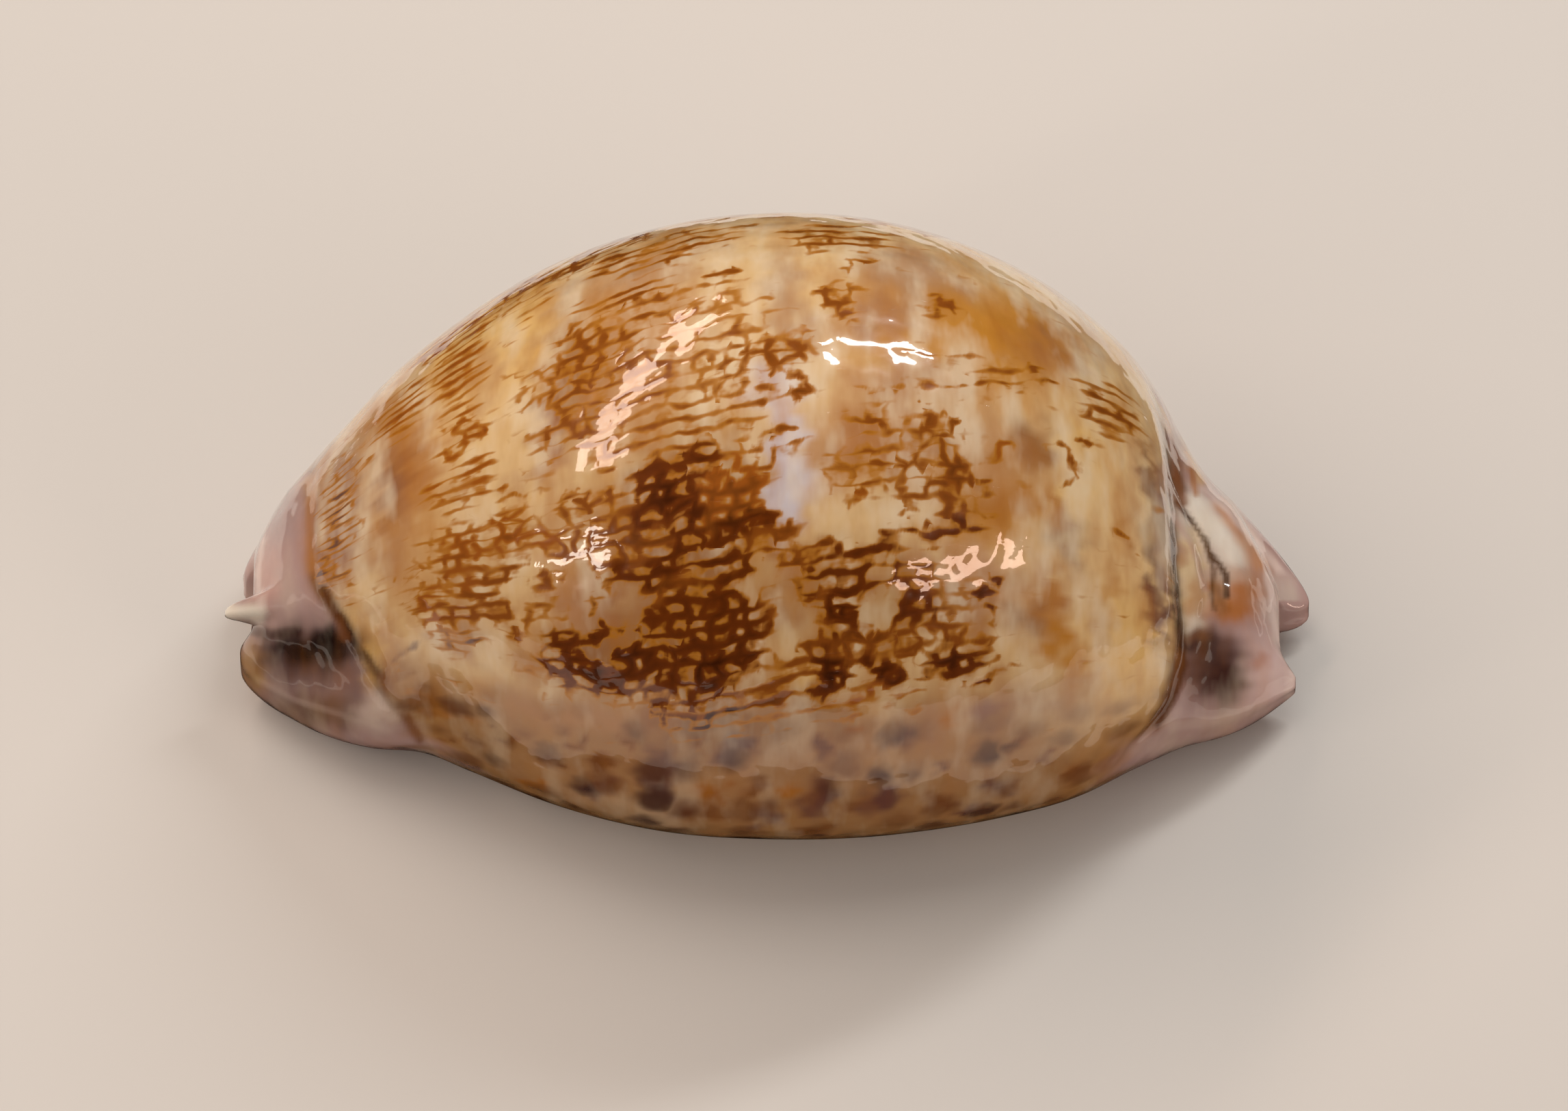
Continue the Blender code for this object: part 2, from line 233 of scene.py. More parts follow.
def outer_side(x, w):
    """Y and Z of the plain outer surface at station x and share w."""
    crest_y, crest_z = through(CREST_OFFSET, x), through(CREST_HEIGHT, x)
    margin_z, base_z = through(MARGIN_HEIGHT, x), through(BASE_RISE, x)
    centre, half_gap = through(APERTURE_CENTRE, x), through(APERTURE_HALF_GAP, x)
    near = w < 0.5
    side = np.where(near, -1.0, 1.0)
    margin_y = side * np.where(near, through(COLUMELLAR_MARGIN, x), through(LABRAL_MARGIN, x))
    lip_y = centre + side * (half_gap + LIP_RADIUS)
    from_lip = np.where(near, w, 1 - w)
    on_base = from_lip < TURN
    angle = np.where(on_base, from_lip / TURN, (from_lip - TURN) / (0.5 - TURN)) * math.pi / 2
    outwards = np.where(on_base, np.sin(angle), np.cos(angle))
    upright = np.where(on_base, np.cos(angle), np.sin(angle))
    power = 2 / np.where(on_base, BASE_FULLNESS, BACK_FULLNESS)
    from_y = np.where(on_base, lip_y, crest_y)
    to_z = np.where(on_base, base_z, crest_z)
    y = from_y + (margin_y - from_y) * np.abs(outwards) ** power
    z = margin_z + (to_z - margin_z) * np.abs(upright) ** power
    return y, z


def inner_side(x, w):
    """Y and Z of the slot's walls and roof at station x and share w."""
    base_z, roof_z = through(BASE_RISE, x), through(CANAL_ROOF, x)
    centre, half_gap = through(APERTURE_CENTRE, x), through(APERTURE_HALF_GAP, x)
    flare = through(CANAL_FLARE, x)
    side = np.where(w < 0.5, -1.0, 1.0)
    from_lip = np.where(w < 0.5, w, 1 - w)
    roof_drop = ROOF_ARCH * (roof_z - base_z)
    arc = np.clip(from_lip / ARC_END, 0, 1) * math.pi / 2
    wall = np.clip((from_lip - ARC_END) / (WALL_END - ARC_END), 0, 1)
    roof = np.clip((from_lip - WALL_END) / (0.5 - WALL_END), 0, 1) * math.pi / 2
    half_width = half_gap + flare * wall * wall * (3 - 2 * wall)
    lip_out = half_gap + LIP_RADIUS * (1 - np.sin(arc))
    out = np.where(from_lip < ARC_END, lip_out, half_width * np.cos(roof))
    lip_up = LIP_RADIUS * (1 - np.cos(arc))
    wall_height = roof_z - roof_drop - base_z - LIP_RADIUS
    return centre + side * out, base_z + lip_up + wall * wall_height + roof_drop * np.sin(roof)


def crease(x, w, guide, depth, width):
    """A groove along the guide."""
    return -depth * bump(x, through(guide, w), width)


def past_creases(x, w):
    """How far station x is past the posterior and past the anterior crease, towards the end."""
    return x - through(POSTERIOR_CREASE, w), through(ANTERIOR_CREASE, w) - x


def outer_relief(x, w):
    """Height of the creases, hollows and ridges above the plain outer surface."""
    relief = crease(x, w, POSTERIOR_CREASE, POSTERIOR_CREASE_DEPTH, POSTERIOR_CREASE_WIDTH)
    relief += crease(x, w, ANTERIOR_CREASE, ANTERIOR_CREASE_DEPTH, FINE_CREASE_WIDTH)
    steps = (ramp(past, STEP_START, STEP_END) for past in past_creases(x, w))
    relief -= STEP_BEYOND_CREASE * sum(steps)
    # Both creases fade out down the flanks.
    relief *= window(w, *CREASED)
    # The layered strip beside the spire ends in a crease of its own.
    strip_edge = crease(x, w, SPIRE_CREASE, SPIRE_CREASE_DEPTH, FINE_CREASE_WIDTH)
    relief += window(w, *SPIRE_STRIP) * strip_edge
    for station, half_length, share, half_width, depth in HOLLOWS:
        relief -= depth * bump(x, station, half_length) * bump(w, share, half_width)
    for share, half_width, start, full, height in RIDGES:
        outwards = math.copysign(1, start)
        rise = ramp(outwards * x, outwards * start, outwards * full)
        relief += height * bump(w, share, half_width) * rise
    return relief


def anterior_reach(w):
    """Where the anterior end stops at share w: two lobes, and the pointed tip of the columella."""
    lobes = sum(window(w, *lobe) for lobe in ANTERIOR_LOBES)
    tip = np.exp(-(((w - COLUMELLA_TIP) / COLUMELLA_TIP_WIDTH) ** 4))
    return ANTERIOR_RIM - ANTERIOR_LOBE_REACH * lobes - COLUMELLA_TIP_REACH * tip


def posterior_reach(w):
    """Where the posterior end stops at share w: a short lobe near, a long one on the far side."""
    reach = POSTERIOR_RIM
    for lobe, lobe_reach in zip(POSTERIOR_LOBES, POSTERIOR_LOBE_REACH):
        reach = reach + lobe_reach * window(w, *lobe)
    return reach


def section_normals(sides):
    """Directions in the section plane that point out of the shell, one for each point of a side."""
    along = np.gradient(sides, axis=1)
    outwards = np.stack([-along[..., 1], along[..., 0]], axis=-1)
    return outwards / np.linalg.norm(outwards, axis=-1, keepdims=True)


# The grid of the rings: x and w of every point, and how far the ring has closed there.
even = np.linspace(0, 1, OUTER_POINTS)
shares = even - CROWDING * np.sin(2 * math.pi * even) / (2 * math.pi)
body_stations = np.linspace(ANTERIOR_CAP_START, POSTERIOR_CAP_START, RINGS_BETWEEN_CAPS)
closing = np.sin(np.linspace(0, math.pi / 2, RINGS_PER_CAP + 1))[1:]
anterior_x = ANTERIOR_CAP_START + np.outer(closing, anterior_reach(shares) - ANTERIOR_CAP_START)
posterior_x = POSTERIOR_CAP_START + np.outer(closing, posterior_reach(shares) - POSTERIOR_CAP_START)
body_x = np.repeat(body_stations[:, None], OUTER_POINTS, axis=1)
x = np.concatenate([anterior_x[::-1], body_x, posterior_x])
shut = np.concatenate([closing[::-1], np.zeros(RINGS_BETWEEN_CAPS), closing])[:, None, None]
station = np.repeat(x.mean(axis=1)[:, None], OUTER_POINTS, axis=1)
w = np.repeat(shares[None], len(x), axis=0)

outer = np.stack(outer_side(station, w), axis=-1)
inner = np.stack(inner_side(station, w), axis=-1)
outer_normals = section_normals(outer)
inner_normals = -section_normals(inner)
outer += outer_normals * outer_relief(x, w)[..., None]
middle_line = (outer + inner) / 2
still_open = np.sqrt(1 - shut * shut)
outer = middle_line + (outer - middle_line) * still_open
inner = middle_line + (inner - middle_line) * still_open

# Round each ring once: the outer side, then back along the slot with fewer points.
back_along = np.arange(OUTER_POINTS - 1, 0, -1)[INNER_EVERY - 1::INNER_EVERY]
ring_x = np.concatenate([x, x[:, back_along]], axis=1)
ring_w = np.concatenate([w, w[:, back_along]], axis=1)
ring_yz = np.concatenate([outer, inner[:, back_along]], axis=1)
ring_normals = np.concatenate([outer_normals, inner_normals[:, back_along]], axis=1)
rings, ring_points = ring_x.shape
on_outside = np.repeat(np.arange(ring_points)[None] < OUTER_POINTS, rings, axis=0)

# The drawing made by the guides is centred, scaled to the shell's length and set into the box
# of the frame. What would lie under the surface that it rests on is flat there.
points = np.concatenate([ring_x[..., None], ring_yz], axis=-1)
drawn_low, drawn_high = points.min(axis=(0, 1)), points.max(axis=(0, 1))
points[..., :2] -= (drawn_low + drawn_high)[:2] / 2
drawn_scale = LENGTH / (drawn_high - drawn_low)[0] * MM
points *= drawn_scale
points[..., 2] = np.maximum(points[..., 2], 0)
low, high = points.min(axis=(0, 1)), points.max(axis=(0, 1))
box_low, box_high = np.array(cad_low), np.array(cad_high)
points = box_low + (points - low) / (high - low) * (box_high - box_low)

# The first and the last ring lie flat on their middle lines, so there the way back along the slot
# uses the points of the way out, and the canals stay open between the lips.
kept = np.ones((rings, ring_points), bool)
kept[[0, -1], OUTER_POINTS:] = False
lies_over = [*range(OUTER_POINTS), *back_along]
shape = bmesh.new()
loops = [
    [shape.verts.new(point) for point in ring[in_use]] for ring, in_use in zip(points, kept)
]


def run(loop, i, j):
    """The points of a loop from the ring's point i to its point j."""
    if len(loop) == ring_points:
        return [loop[i], loop[j]]
    start, end = lies_over[i], lies_over[j]
    return loop[start:end + 1] if start < end else loop[end:start + 1][::-1]


for loop, next_loop in zip(loops, loops[1:]):
    for i in range(ring_points):
        j = (i + 1) % ring_points
        shape.faces.new(run(loop, i, j) + run(next_loop, i, j)[::-1])
shape.verts.index_update()
bmesh.ops.triangulate(shape, faces=[face for face in shape.faces if len(face.verts) > 4])
bmesh.ops.recalc_face_normals(shape, faces=shape.faces)
shell_mesh = bpy.data.meshes.new("map_cowrie")
shape.to_mesh(shell_mesh)
shape.free()
shell = bpy.data.objects.new("map_cowrie", shell_mesh)
bpy.context.scene.collection.objects.link(shell)

# Kinds of attribute by the shape of one point's value: a number, a vector or a colour.
ATTRIBUTE_KINDS = {
    (): ("FLOAT", "value"), (3,): ("FLOAT_VECTOR", "vector"), (4,): ("FLOAT_COLOR", "color"),
}


def set_attribute(name, values):
    """Stores one value, vector or colour of the rings for each point of the mesh."""
    values = np.asarray(values, np.float32)[kept]
    kind, field = ATTRIBUTE_KINDS[values.shape[1:]]
    shell_mesh.attributes.new(name, kind, "POINT").data.foreach_set(field, values.ravel())


# The teeth are ribs that repeat along both lips, so a node tree cuts the gaps between them.
from_lip = np.minimum(ring_w, 1 - ring_w)
gap_reach = np.where(on_outside, TEETH_ON_BASE, TEETH_ON_WALLS)
toothing = 1 - ramp(from_lip, 0.5 * gap_reach, gap_reach)
toothing *= window((ring_x - TEETH_START) / (TEETH_END - TEETH_START), *TEETH_GROWN)
set_attribute("station", ring_x)
set_attribute("toothing", toothing)
set_attribute("gap direction", np.concatenate([0 * ring_x[..., None], ring_normals], axis=-1))


def add(tree, kind, inputs=None, give=0, **settings):
    """Adds a node with its settings, sets or links its inputs, and gives one of its outputs."""
    made = tree.nodes.new(kind)
    for name, value in settings.items():
        setattr(made, name, value)
    for key, value in (inputs or {}).items():
        if isinstance(value, bpy.types.NodeSocket):
            tree.links.new(value, made.inputs[key])
        else:
            made.inputs[key].default_value = value
    return made.outputs[give] if made.outputs else made


def calc(tree, operation, *values):
    """Adds a node that does one step of arithmetic."""
    return add(tree, "ShaderNodeMath", dict(enumerate(values)), operation=operation)


def linear(hex_colour):
    """The linear RGBA of an sRGB hex colour."""
    parts = [int(hex_colour[i:i + 2], 16) / 255 for i in (1, 3, 5)]
    return [p / 12.92 if p <= 0.04045 else ((p + 0.055) / 1.055) ** 2.4 for p in parts] + [1.0]


enamel = bpy.data.materials.new("aragonite enamel, glazed by the mantle")
shell_mesh.materials.append(enamel)

toothed = bpy.data.node_groups.new("toothed lips", "GeometryNodeTree")
toothed.interface.new_socket("Geometry", in_out="OUTPUT", socket_type="NodeSocketGeometry")
for name, kind in (
    ("Geometry", "Geometry"), ("Teeth", "Int"), ("First station", "Float"),
    ("Last station", "Float"), ("Gap depth", "Float"), ("Finish", "Material"),
):
    toothed.interface.new_socket(name, in_out="INPUT", socket_type="NodeSocket" + kind)
given = add(toothed, "NodeGroupInput").node.outputs
here, depth_share, direction = (
    add(toothed, "GeometryNodeInputNamedAttribute", {"Name": name}, data_type=kind)
    for name, kind in (
        ("station", "FLOAT"), ("toothing", "FLOAT"), ("gap direction", "FLOAT_VECTOR"),
    )
)
teeth_passed = add(toothed, "ShaderNodeMapRange", {
    "Value": here, "From Min": given["First station"], "From Max": given["Last station"],
    "To Min": 0.0, "To Max": given["Teeth"],
}, clamp=False)
wave = calc(toothed, "COSINE", calc(toothed, "MULTIPLY", teeth_passed, 2 * math.pi))
gap = calc(toothed, "MULTIPLY", calc(toothed, "MULTIPLY_ADD", wave, -0.5, 0.5), depth_share)
inwards = calc(toothed, "MULTIPLY", given["Gap depth"], -1.0)
offset = add(toothed, "ShaderNodeVectorMath", {
    0: direction, "Scale": calc(toothed, "MULTIPLY", gap, inwards),
}, operation="SCALE")
cut = add(toothed, "GeometryNodeSetPosition", {"Geometry": given["Geometry"], "Offset": offset})
whole = add(toothed, "GeometryNodeRealizeInstances", {"Geometry": cut})
finished = add(toothed, "GeometryNodeSetMaterial", {
    "Geometry": whole, "Material": given["Finish"],
})
add(toothed, "NodeGroupOutput", {"Geometry": finished})

teeth_cut = shell.modifiers.new("toothed lips", "NODES")
teeth_cut.node_group = toothed
sizes = {
    "Teeth": TEETH, "First station": TEETH_START, "Last station": TEETH_END,
    "Gap depth": TOOTH_GAP_DEPTH * drawn_scale, "Finish": enamel,
}
for socket in toothed.interface.items_tree:
    if socket.in_out == "INPUT" and socket.name in sizes:
        teeth_cut[socket.identifier] = sizes[socket.name]

# The markings are laid out on a map of the back: u runs along the shell and v across the rings,
# both close to millimetres at mid-length. v = 0 is the crest, v < 0 the columellar side. Lines
# of equal v climb towards the posterior end, as the brown lines do.
V_PER_SHARE = 120.0
LINE_CLIMB = 4.4
LINE_CLIMB_LENGTH = 22.0
CREST_CLIMB = 0.016
CREST_CLIMB_START = 6.0
CREST_CLIMB_SHARES = (0.38, 0.5)

u = ring_x
crest_climb = CREST_CLIMB * np.maximum(u - CREST_CLIMB_START, 0) ** 2
crest_climb *= ramp(ring_w, *CREST_CLIMB_SHARES)
v = V_PER_SHARE * (ring_w - 0.5) - LINE_CLIMB * np.tanh(u / LINE_CLIMB_LENGTH) - crest_climb

# Colours of the enamel under the lines.
CREAM = "#dcb985"
YELLOW = "#deb268"
AMBER = "#a9661f"
GOLD = "#bf8029"
FLESH = "#b5835a"
PINK = "#a06a50"
LILAC = "#98705f"
PURPLE = "#664039"
BROWN = "#7a4722"
WHITE = "#cfc6ca"
MARGIN_TAN = "#94663c"
BASE_PALE = "#d8c1ac"
STAIN = "#33180c"
STAINED = "#94581c"

# Colours of the ends, some of them painted shade and painted highlights.
BEAK_LILAC = "#b3948d"
BEAK_PINK = "#c0968b"
BEAK_GREY = "#a3928f"
STRIP_CREAM = "#dcc294"
# The white band of the far lobe's flank, with a painted highlight along its crest; also the white
# tip of the columella.
TUBE_WHITE_AND_HIGHLIGHT = "#ece3d3"
ORANGE_FLESH = "#c68c60"
CANAL_ORANGE = "#ae6a30"
RIM_PINK = "#b58577"
# Painted highlight: the pale light along the rims of the canals and the lobes.
RIM_HIGHLIGHT = "#e0cabf"
CREASE_BROWN = "#4a2a14"
# Dark purple-brown: the stained line of the posterior crease, and painted shade at the top of the
# anterior hollow.
PURPLE_STAIN_AND_SHADE = "#341a10"
# Painted shade: the hollows at both ends are darkened in their colour, over their own purple-brown
# stain.
HOLLOW_BROWN_AND_SHADE = "#381b13"
HOLLOW_LILAC_AND_SHADE = "#65463d"
HOLLOW_DARK_SHADE = "#1c0c08"
LOBE_GREY = "#c4b0a4"
# The near posterior lobe's pale lilac, lightened as a painted highlight.
NEAR_LOBE_AND_HIGHLIGHT = "#ceb2ab"
# Pale callus of the flanges, with a painted highlight along their edges.
FLANGE_PALE_AND_HIGHLIGHT = "#c6ada0"
FLANGE_TAN = "#b98c5a"
FLANGE_BROWN = "#6f5140"

# Colours of the lines.
RUST = "#9a5416"
CHESTNUT = "#8a4a12"
DARK = "#6c3209"
LILACINK = "#6d4c40"
PURPLEINK = "#4b302c"

# Clouds of ground colour: (colour, u, v, half length, half height, strength).
GROUND_PATCHES = (
    (FLESH, -5.9, -17.6, 15.6, 9.4, 0.6), (FLESH, 6.4, -9.6, 4.3, 2.8, 0.75),
    (CREAM, 5.7, -15.2, 3.5, 2.2, 0.95), (CREAM, 5.7, -15.2, 2.8, 1.5, 0.6),
    (FLESH, 13.0, -10.6, 4.3, 4.5, 0.7), (FLESH, 13.0, -20.6, 4.3, 3.1, 0.8),
    (FLESH, 16.8, -21.8, 2.8, 2.8, 0.5), (LILAC, -8.2, 9.6, 5.7, 3.8, 0.45),
    (FLESH, -9.2, 1.4, 6.1, 6.7, 0.65), (AMBER, -24.8, -1.3, 2.6, 10.1, 0.8),
    (AMBER, -26.6, 10.6, 1.4, 8.0, 0.6), (BROWN, -25.5, -1.0, 1.0, 4.2, 0.6),
    (AMBER, -22.4, -12.6, 2.8, 4.4, 0.35), (CREAM, -18.4, 4.4, 2.1, 11.1, 0.95),
    (YELLOW, -20.5, 17.4, 2.8, 11.0, 0.8), (YELLOW, -16.5, 10.2, 1.7, 9.0, 0.7),
    (CREAM, -17.0, -7.5, 2.4, 1.9, 0.9), (CREAM, -20.0, -11.8, 4.3, 6.1, 0.5),
    (CREAM, -16.2, -16.1, 1.4, 2.4, 0.7), (PINK, -14.7, -2.2, 0.9, 4.8, 0.85),
    (WHITE, 1.5, -9.4, 1.1, 5.0, 0.95), (WHITE, 0.5, -4.0, 1.9, 1.6, 0.95),
    (WHITE, 1.7, -12.6, 1.7, 1.7, 0.9), (CREAM, -3.5, -0.7, 1.9, 1.7, 0.5),
    (CREAM, -11.5, -8.1, 2.8, 0.8, 0.8), (CREAM, -2.6, -10.5, 0.7, 0.6, 0.8),
    (CREAM, -0.4, -17.8, 0.9, 1.7, 0.9), (FLESH, -12.9, -17.0, 1.6, 3.0, 0.95),
    (FLESH, -9.9, -18.5, 1.6, 2.0, 0.9), (CREAM, -9.4, -18.0, 0.6, 1.3, 0.6),
    (FLESH, -11.1, -21.3, 2.1, 0.8, 0.7), (CREAM, 1.9, -21.3, 1.7, 1.7, 0.9),
    (FLESH, 1.2, -20.7, 1.2, 1.0, 0.5), (CREAM, 1.9, -23.3, 1.4, 0.9, 0.8),
    (YELLOW, 2.2, -25.4, 1.4, 1.0, 0.8), (CREAM, 7.8, -21.4, 1.3, 1.6, 0.95),
    (CREAM, 10.4, -17.0, 1.9, 0.7, 0.8), (CREAM, 10.4, -14.7, 1.0, 0.6, 0.8),
    (WHITE, 5.7, -19.1, 1.6, 0.6, 0.5), (CREAM, 8.1, -18.8, 0.9, 0.7, 0.8),
    (GOLD, 10.7, 0.2, 7.6, 4.0, 0.8), (GOLD, 16.8, -1.3, 4.3, 5.3, 0.9),
    (AMBER, 19.7, -0.2, 1.9, 4.5, 0.6), (CREAM, -1.6, 7.3, 2.8, 3.4, 0.8),
    (CREAM, 3.1, 1.9, 2.8, 3.9, 0.7), (LILAC, 1.2, 3.6, 1.4, 4.1, 0.5),
    (LILAC, 7.8, 0.2, 2.8, 1.9, 0.6), (LILAC, 2.6, -1.0, 1.9, 1.7, 0.5),
    (FLESH, 9.7, -5.1, 4.3, 1.7, 0.7), (LILAC, 8.3, -9.8, 2.8, 1.3, 0.35),
    (BROWN, 18.2, -10.2, 1.4, 1.6, 0.75), (AMBER, 17.5, -12.0, 2.1, 2.3, 0.5),
    (GOLD, 14.9, -15.5, 3.8, 1.8, 0.8), (AMBER, 16.3, -14.4, 2.4, 1.2, 0.6),
    (AMBER, 19.9, -14.2, 0.7, 1.8, 0.8), (PURPLE, 20.8, -16.2, 1.4, 1.8, 0.55),
    (AMBER, 19.4, -22.3, 1.0, 3.5, 0.75), (GOLD, 20.1, -24.7, 0.9, 1.5, 0.9),
    (GOLD, 21.5, -27.6, 1.2, 1.7, 0.95), (AMBER, 23.3, -20.6, 0.8, 3.0, 0.7),
    (PURPLE, 17.8, -23.0, 1.4, 1.1, 0.4), (CREAM, 23.9, -13.8, 2.4, 4.4, 0.9),
    (YELLOW, 21.5, -11.4, 1.2, 2.5, 0.8), (CREAM, 22.5, -19.4, 0.8, 3.9, 0.6),
    (YELLOW, 25.3, -27.0, 2.8, 7.1, 0.75), (CREAM, 21.1, -20.3, 0.9, 2.4, 0.7),
    (AMBER, 24.8, -15.0, 0.5, 1.7, 0.4), (PURPLE, 27.1, -19.0, 0.7, 5.8, 0.75),
    (PURPLE, 27.2, -13.6, 0.6, 1.4, 0.6), (BROWN, 26.4, -11.3, 0.4, 3.3, 0.7),
    (GOLD, 14.0, -24.1, 1.4, 0.9, 0.7), (CREAM, 14.5, -24.7, 0.7, 0.4, 0.8),
    (CREAM, -16.2, -23.4, 6.6, 1.6, 0.7), (GOLD, -20.0, -25.6, 1.9, 1.1, 0.4),
    (FLESH, -10.6, -27.3, 7.1, 1.2, 0.6), (CREAM, -0.2, -29.2, 5.2, 1.2, 0.6),
    (CREAM, 6.9, -29.2, 2.8, 0.8, 0.6), (LILAC, -5.9, -26.9, 2.8, 1.1, 0.4),
    (LILAC, 14.0, -30.6, 5.7, 1.8, 0.45), (CREAM, 22.5, -33.2, 3.8, 3.1, 0.5),
    (LILAC, -30.1, 0.5, 2.0, 12.7, 0.8), (CREAM, -28.5, -15.2, 1.4, 5.5, 0.7),
    (FLESH, -29.5, -9.9, 1.4, 3.8, 0.5), (LILAC, -21.4, -20.7, 1.6, 1.9, 0.6),
    (AMBER, -26.2, -17.7, 0.9, 3.4, 0.3), (YELLOW, -27.4, -21.3, 0.8, 3.1, 0.6),
    (BROWN, -25.5, -24.7, 0.8, 2.2, 0.6), (STAIN, -23.6, -29.2, 0.9, 1.1, 0.75),
    (AMBER, -22.2, -29.8, 1.9, 0.7, 0.6), (LILAC, 9.7, 5.5, 3.8, 3.6, 0.55),
    (AMBER, 7.4, -9.2, 2.8, 2.3, 0.5), (BROWN, -1.1, -29.0, 6.1, 1.7, 0.75),
    (BROWN, -5.4, -10.8, 4.5, 4.5, 0.5), (BROWN, -5.9, -18.6, 5.7, 4.0, 0.45),
    (BROWN, -10.6, -22.4, 5.2, 2.5, 0.55), (BROWN, 5.5, -20.3, 6.6, 2.9, 0.35),
    (BROWN, -13.7, 1.2, 2.1, 6.0, 0.45), (FLESH, -2.1, -33.3, 14.2, 3.1, 0.3),
)

# Colours of the two ends, where the map is too squeezed to be of use, with painted shade in the
# hollows and painted highlights along rims and edges. They are laid out in millimetres across and
# up a view from the near side, from above: (colour, across, up, half length, half height,
# strength), and drawn lines as (colour, half width, strength, places).
VIEW_ELEVATION = math.radians(54)
END_STROKES = (
    (LILAC, 0.56, 0.6, ((26.9, 12.3), (27.0, 4.8))),
    (PURPLE, 0.33, 0.75, ((25.7, 5.0), (26.5, 2.0), (27.6, 3.1))),
    (PURPLE_STAIN_AND_SHADE, 0.28, 0.9, (
        (27.6, 11.8), (27.6, 7.1), (27.9, 3.8), (28.1, 1.0), (28.4, -0.8), (27.9, -2.7),
        (26.6, -5.1),
    )),
    (BROWN, 0.56, 0.5, ((28.0, -0.4), (27.7, -2.7), (26.5, -5.1))),
    (RIM_PINK, 0.23, 0.6, ((27.6, 9.4), (28.8, 7.7), (29.4, 6.3), (29.9, 4.3))),
    # The far lobe's white band: partly its own pale colour, partly a painted highlight along its
    # crest.
    (TUBE_WHITE_AND_HIGHLIGHT, 1.59, 0.5, ((28.8, 9.8), (30.3, 8.0), (31.6, 6.1))),
    (TUBE_WHITE_AND_HIGHLIGHT, 0.98, 0.95, ((29.3, 9.9), (30.8, 8.4), (32.0, 6.7))),
    (ORANGE_FLESH, 0.75, 0.8, ((31.4, 9.9), (33.1, 7.8), (34.0, 6.0))),
    (STAIN, 0.21, 0.9, (
        (28.0, 10.2), (28.9, 9.1), (30.0, 7.6), (30.3, 6.7), (31.1, 5.8), (31.5, 5.2), (31.5, 3.8),
    )),
    (STAIN, 0.19, 0.7, ((30.0, 7.6), (30.3, 6.5), (30.6, 5.5), (30.4, 3.8), (30.6, 2.9))),
    # Painted highlights along the rims of the far lobe, the canal and the near lobe.
    (RIM_HIGHLIGHT, 0.33, 0.8, ((29.7, 11.6), (31.7, 9.7), (35.4, 5.6))),
    (RIM_HIGHLIGHT, 0.33, 0.85, ((34.5, 5.3), (34.9, 3.4), (35.1, 0.9))),
    (RIM_HIGHLIGHT, 0.37, 0.7, ((35.1, 0.6), (36.3, -1.1), (35.9, -3.0))),
    # Pale edge of the posterior flange, partly a painted highlight.
    (FLANGE_PALE_AND_HIGHLIGHT, 0.47, 0.6, ((27.7, -5.2), (31.2, -4.8), (34.1, -3.9))),
    (BROWN, 0.47, 0.85, ((28.0, 14.6), (28.1, 11.8), (28.4, 10.2))),
    (AMBER, 0.66, 0.6, ((29.2, 14.6), (29.9, 12.1))),
    (CREAM, 0.33, 0.6, ((29.3, 13.7), (29.8, 11.8))),
    (AMBER, 0.23, 0.7, ((29.1, 12.4), (29.4, 10.8))),
    # Painted highlight on the lit rim of the anterior canal.
    (RIM_HIGHLIGHT, 0.23, 0.8, ((-34.9, 7.6), (-35.2, 5.2), (-34.9, 2.8))),
    (TUBE_WHITE_AND_HIGHLIGHT, 0.66, 0.97, ((-37.6, 2.7), (-35.2, 2.5))),
    # Painted shade along the top of the dark hollow under the anterior tip.
    (PURPLE_STAIN_AND_SHADE, 0.42, 0.7, ((-36.2, 1.5), (-34.3, 1.1), (-32.4, 1.3))),
    # Painted highlight along the edge of the anterior flange.
    (FLANGE_PALE_AND_HIGHLIGHT, 0.23, 0.3, ((-35.0, -2.2), (-32.5, -3.4), (-29.2, -4.4), (-26.0, -5.5))),
    (BEAK_GREY, 0.14, 0.7, ((-31.1, 12.3), (-31.0, 7.1), (-30.6, 5.0))),
    (STAIN, 0.37, 0.8, ((-30.5, 4.4), (-29.7, 2.9), (-28.7, 1.2), (-26.4, -1.8))),
    (BROWN, 0.42, 0.75, ((-26.4, -1.8), (-25.0, -4.1), (-23.9, -6.0))),
    (BROWN, 0.47, 0.6, ((-30.3, 3.8), (-29.4, 2.2), (-29.0, 1.0))),
    (ORANGE_FLESH, 0.42, 0.45, ((-31.5, 11.8), (-31.3, 5.7))),
)
